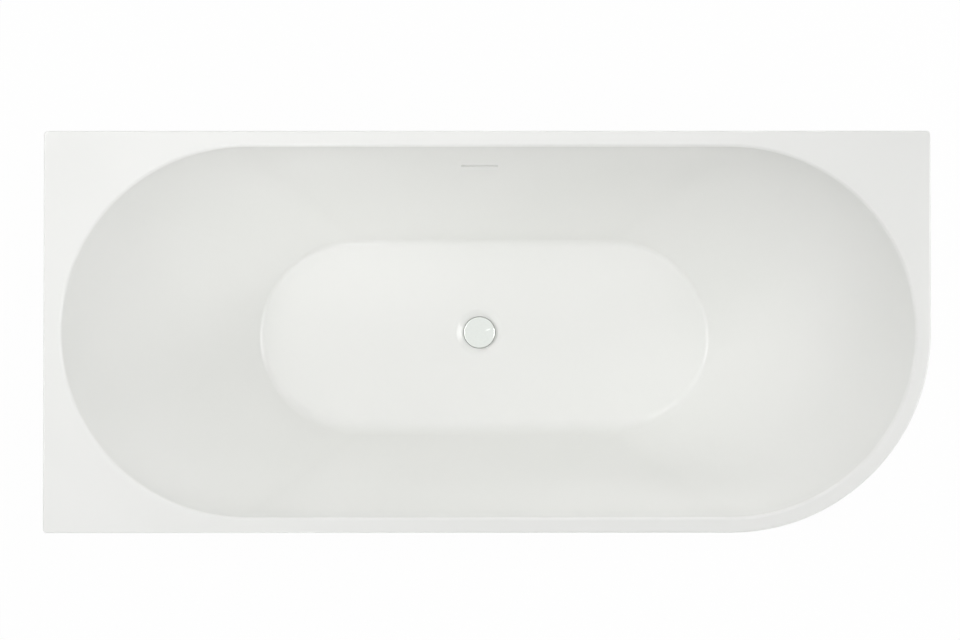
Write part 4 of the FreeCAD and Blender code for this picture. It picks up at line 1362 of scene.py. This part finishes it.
@dataclass
class Studio:
    """Pale floor, soft light and the camera above the tub."""

    floor_half_m: float = 30.0
    floor_colour: str = "#FCFCFB"
    floor_share: float = 0.97
    # Below the tub the floor glows less: painted shade, over the real shadow that shows there.
    shade_share: float = 0.45
    shade_half_m: Place = (0.71, 0.3, 0.0)
    shade_reach_m: float = 0.15
    fill_strength: float = 0.33
    lens_mm: float = 58.86
    sensor_mm: float = 36.0
    camera_place: Place = (-0.0147, -0.013, 3.5835)
    camera_tilt_deg: Place = (0.671, -0.015, -0.024)
    lamps: tuple[SoftBox, ...] = (
        SoftBox("box_right", (2.58, 0.0, 4.09), (1.6, 1.3), 34.7),
        SoftBox("box_front_right", (1.8, -1.8, 1.99), (0.9, 0.9), 4.4),
        SoftBox("strip_front", (-0.81, -2.22, 2.25), (1.6, 0.3), 1.3),
        SoftBox("box_left", (-2.01, 0.0, 2.63), (1.8, 0.7), 15.8),
        SoftBox("box_back_left", (-2.2, 1.37, 2.28), (1.8, 1.4), 5.6),
        SoftBox("box_near_back_left", (-1.35, 1.0, 2.0), (0.8, 0.8), 3.0, (-0.5, 0.2, 0.4)),
        SoftBox("box_corner", (-1.31, -0.68, 2.3), (0.9, 0.5), 0.7, (-0.56, 0.37, 0.4)),
        SoftBox("box_back", (-0.6, 1.2, 2.9), (1.8, 0.8), 1.5),
        SoftBox("low_back", (0.0, 2.3, 1.05), (2.2, 0.5), 4.2, (0.0, -0.3, 0.55)),
        SoftBox("low_back_right", (2.2, 1.6, 1.15), (1.2, 0.5), 6.2, (-0.75, -0.25, 0.5)),
        SoftBox("low_right", (2.7, 0.0, 1.15), (1.2, 0.5), 7.2, (-0.8, 0.0, 0.5)),
        # Below the height of the rim: it lights the front panel and nothing inside the tub.
        SoftBox("low_front", (0.2, -2.5, 0.4), (2.4, 0.3), 9.0, (0.1, -0.38, 0.3)),
        SoftBox("strip_above", (0.39, 0.14, 3.0), (0.05, 0.22), 0.014, (0.0, 0.0, 0.16)),
        SoftBox("grid_to_back_wall", (-0.9, -1.9, 2.5), (0.9, 0.9), 0.43, (-0.5, 0.33, 0.45), 30.0),
        SoftBox("grid_to_left_wall", (1.3, 0.5, 2.3), (0.6, 0.6), 0.06, (-0.7, 0.0, 0.38), 30.0),
        SoftBox("grid_to_front_wall", (-0.4, 1.9, 2.5), (0.6, 0.6), 0.2, (0.55, -0.3, 0.4), 30.0),
        SoftBox("grid_to_right_wall", (-1.9, 0.3, 2.6), (0.9, 0.9), 0.38, (0.5, 0.1, 0.25), 30.0),
        SoftBox("grid_to_floor", (2.2, 0.0, 2.75), (0.6, 0.6), 0.1, (-0.1, 0.0, 0.15), 30.0),
    )

    def lay_floor(self) -> None:
        """Lay the pale floor, which looks white around the tub; below the tub its glow is cut back, so
        it darkens there from painted shade as well as from the real shadow.
        """
        half = self.floor_half_m
        corners = [(-half, -half, 0), (half, -half, 0), (half, half, 0), (-half, half, 0)]
        mesh = bpy.data.meshes.new("studio_floor")
        mesh.from_pydata(corners, [], [(0, 1, 2, 3)])
        floor = bpy.data.objects.new("studio_floor", mesh)
        bpy.context.scene.collection.objects.link(floor)
        material = bpy.data.materials.new("studio_floor_matt_white")
        material.use_nodes = True
        material.node_tree.nodes.clear()
        nodes = Nodes(material.node_tree)
        matt = nodes.add("BsdfDiffuse", {"Color": linear(self.floor_colour)})[0]
        glow = nodes.add("Emission", {"Color": WHITE, "Strength": 1.0})[0]
        share = nodes.combine("Math", "MULTIPLY", self.seen(nodes), self.white_share(nodes))[0]
        mixed = nodes.add("MixShader", {0: share, 1: matt, 2: glow})[0]
        nodes.add("OutputMaterial", {"Surface": mixed})
        mesh.materials.append(material)

    def white_share(self, nodes: Nodes) -> Socket:
        """Share of plain white glow in the floor, cut back in a box below the tub: painted shade there,
        on top of the real shadow that it lets show.

        Args:
            nodes: The nodes of the floor's material.

        Returns:
            Socket with the share.
        """
        place = nodes.add("TexCoord")["Object"]
        across = nodes.combine("VectorMath", "ABSOLUTE", place)[0]
        past = nodes.combine("VectorMath", "SUBTRACT", across, self.shade_half_m)[0]
        outside = nodes.combine("VectorMath", "MAXIMUM", past, (0, 0, 0))[0]
        away = nodes.combine("VectorMath", "LENGTH", outside)["Value"]
        inputs = {
            "Value": away,
            "From Max": self.shade_reach_m,
            "To Min": self.shade_share,
            "To Max": self.floor_share,
        }
        return nodes.add("MapRange", inputs, interpolation_type="SMOOTHSTEP")[0]

    def seen(self, nodes: Nodes) -> Socket:
        """Tell the rays that show a surface from those that only light the tub.

        Args:
            nodes: The nodes of a material or of the world.

        Returns:
            Socket that is 1 for rays from the camera, from a mirror or through glass.
        """
        path = nodes.add("LightPath")
        straight = path["Is Camera Ray"]
        for kind in ("Is Glossy Ray", "Is Transmission Ray"):
            straight = nodes.combine("Math", "MAXIMUM", straight, path[kind])[0]
        return straight

    def light_world(self) -> None:
        """Make the even fill light, white where it is seen or mirrored."""
        world = bpy.data.worlds.new("studio")
        world.use_nodes = True
        bpy.context.scene.world = world
        world.node_tree.nodes.clear()
        nodes = Nodes(world.node_tree)
        strength = nodes.between(self.seen(nodes), self.fill_strength, 1.0)
        sky = nodes.add("Background", {"Color": WHITE, "Strength": strength})[0]
        nodes.add("OutputWorld", {"Surface": sky})

    def set_camera(self) -> None:
        """Set the camera high above the tub, looking straight down."""
        camera = bpy.data.cameras.new("camera")
        camera.lens = self.lens_mm
        camera.sensor_width = self.sensor_mm
        holder = bpy.data.objects.new("camera", camera)
        holder.location = self.camera_place
        holder.rotation_euler = [math.radians(angle) for angle in self.camera_tilt_deg]
        bpy.context.scene.collection.objects.link(holder)
        bpy.context.scene.camera = holder

    def build(self) -> None:
        """Build floor, light and camera."""
        bpy.context.scene.view_settings.view_transform = "Standard"
        self.lay_floor()
        self.light_world()
        for lamp in self.lamps:
            lamp.hang()
        self.set_camera()
        LOG.info("studio built")


def main() -> None:
    """Build every sub-assembly and the studio in order."""
    logging.basicConfig(level=logging.INFO, format="%(message)s")
    acrylic = ThermoformedAcrylic()
    chrome = PolishedChrome()
    zinc = ZincPlate()
    galvanised = GalvanisedSteel()
    white_plastic = MouldedPlastic("polypropylene_moulded_white", "#E6E6E2", "#DCDCD7")
    black_plastic = MouldedPlastic("polypropylene_moulded_black", "#1C1C1E", "#252527")
    rubber = MouldedPlastic("rubber_moulded_black", "#202021", "#2A2A2A", roughness=(0.6, 0.75))
    grey_pipe = MouldedPlastic("polypropylene_extruded_grey", "#8F9396", "#9A9EA1")
    BathShell(acrylic, ChoppedStrandFibre()).build()
    Apron(acrylic, zinc, galvanised).build()
    LegFrame(PressedChipboard(), zinc, galvanised).build()
    LevellingFeet(zinc, black_plastic).build()
    WasteFitting(chrome, DrawnStainless(), rubber, white_plastic).build()
    OverflowFitting(white_plastic, grey_pipe, rubber).build()
    Studio().build()


if __name__ == "__main__":
    main()
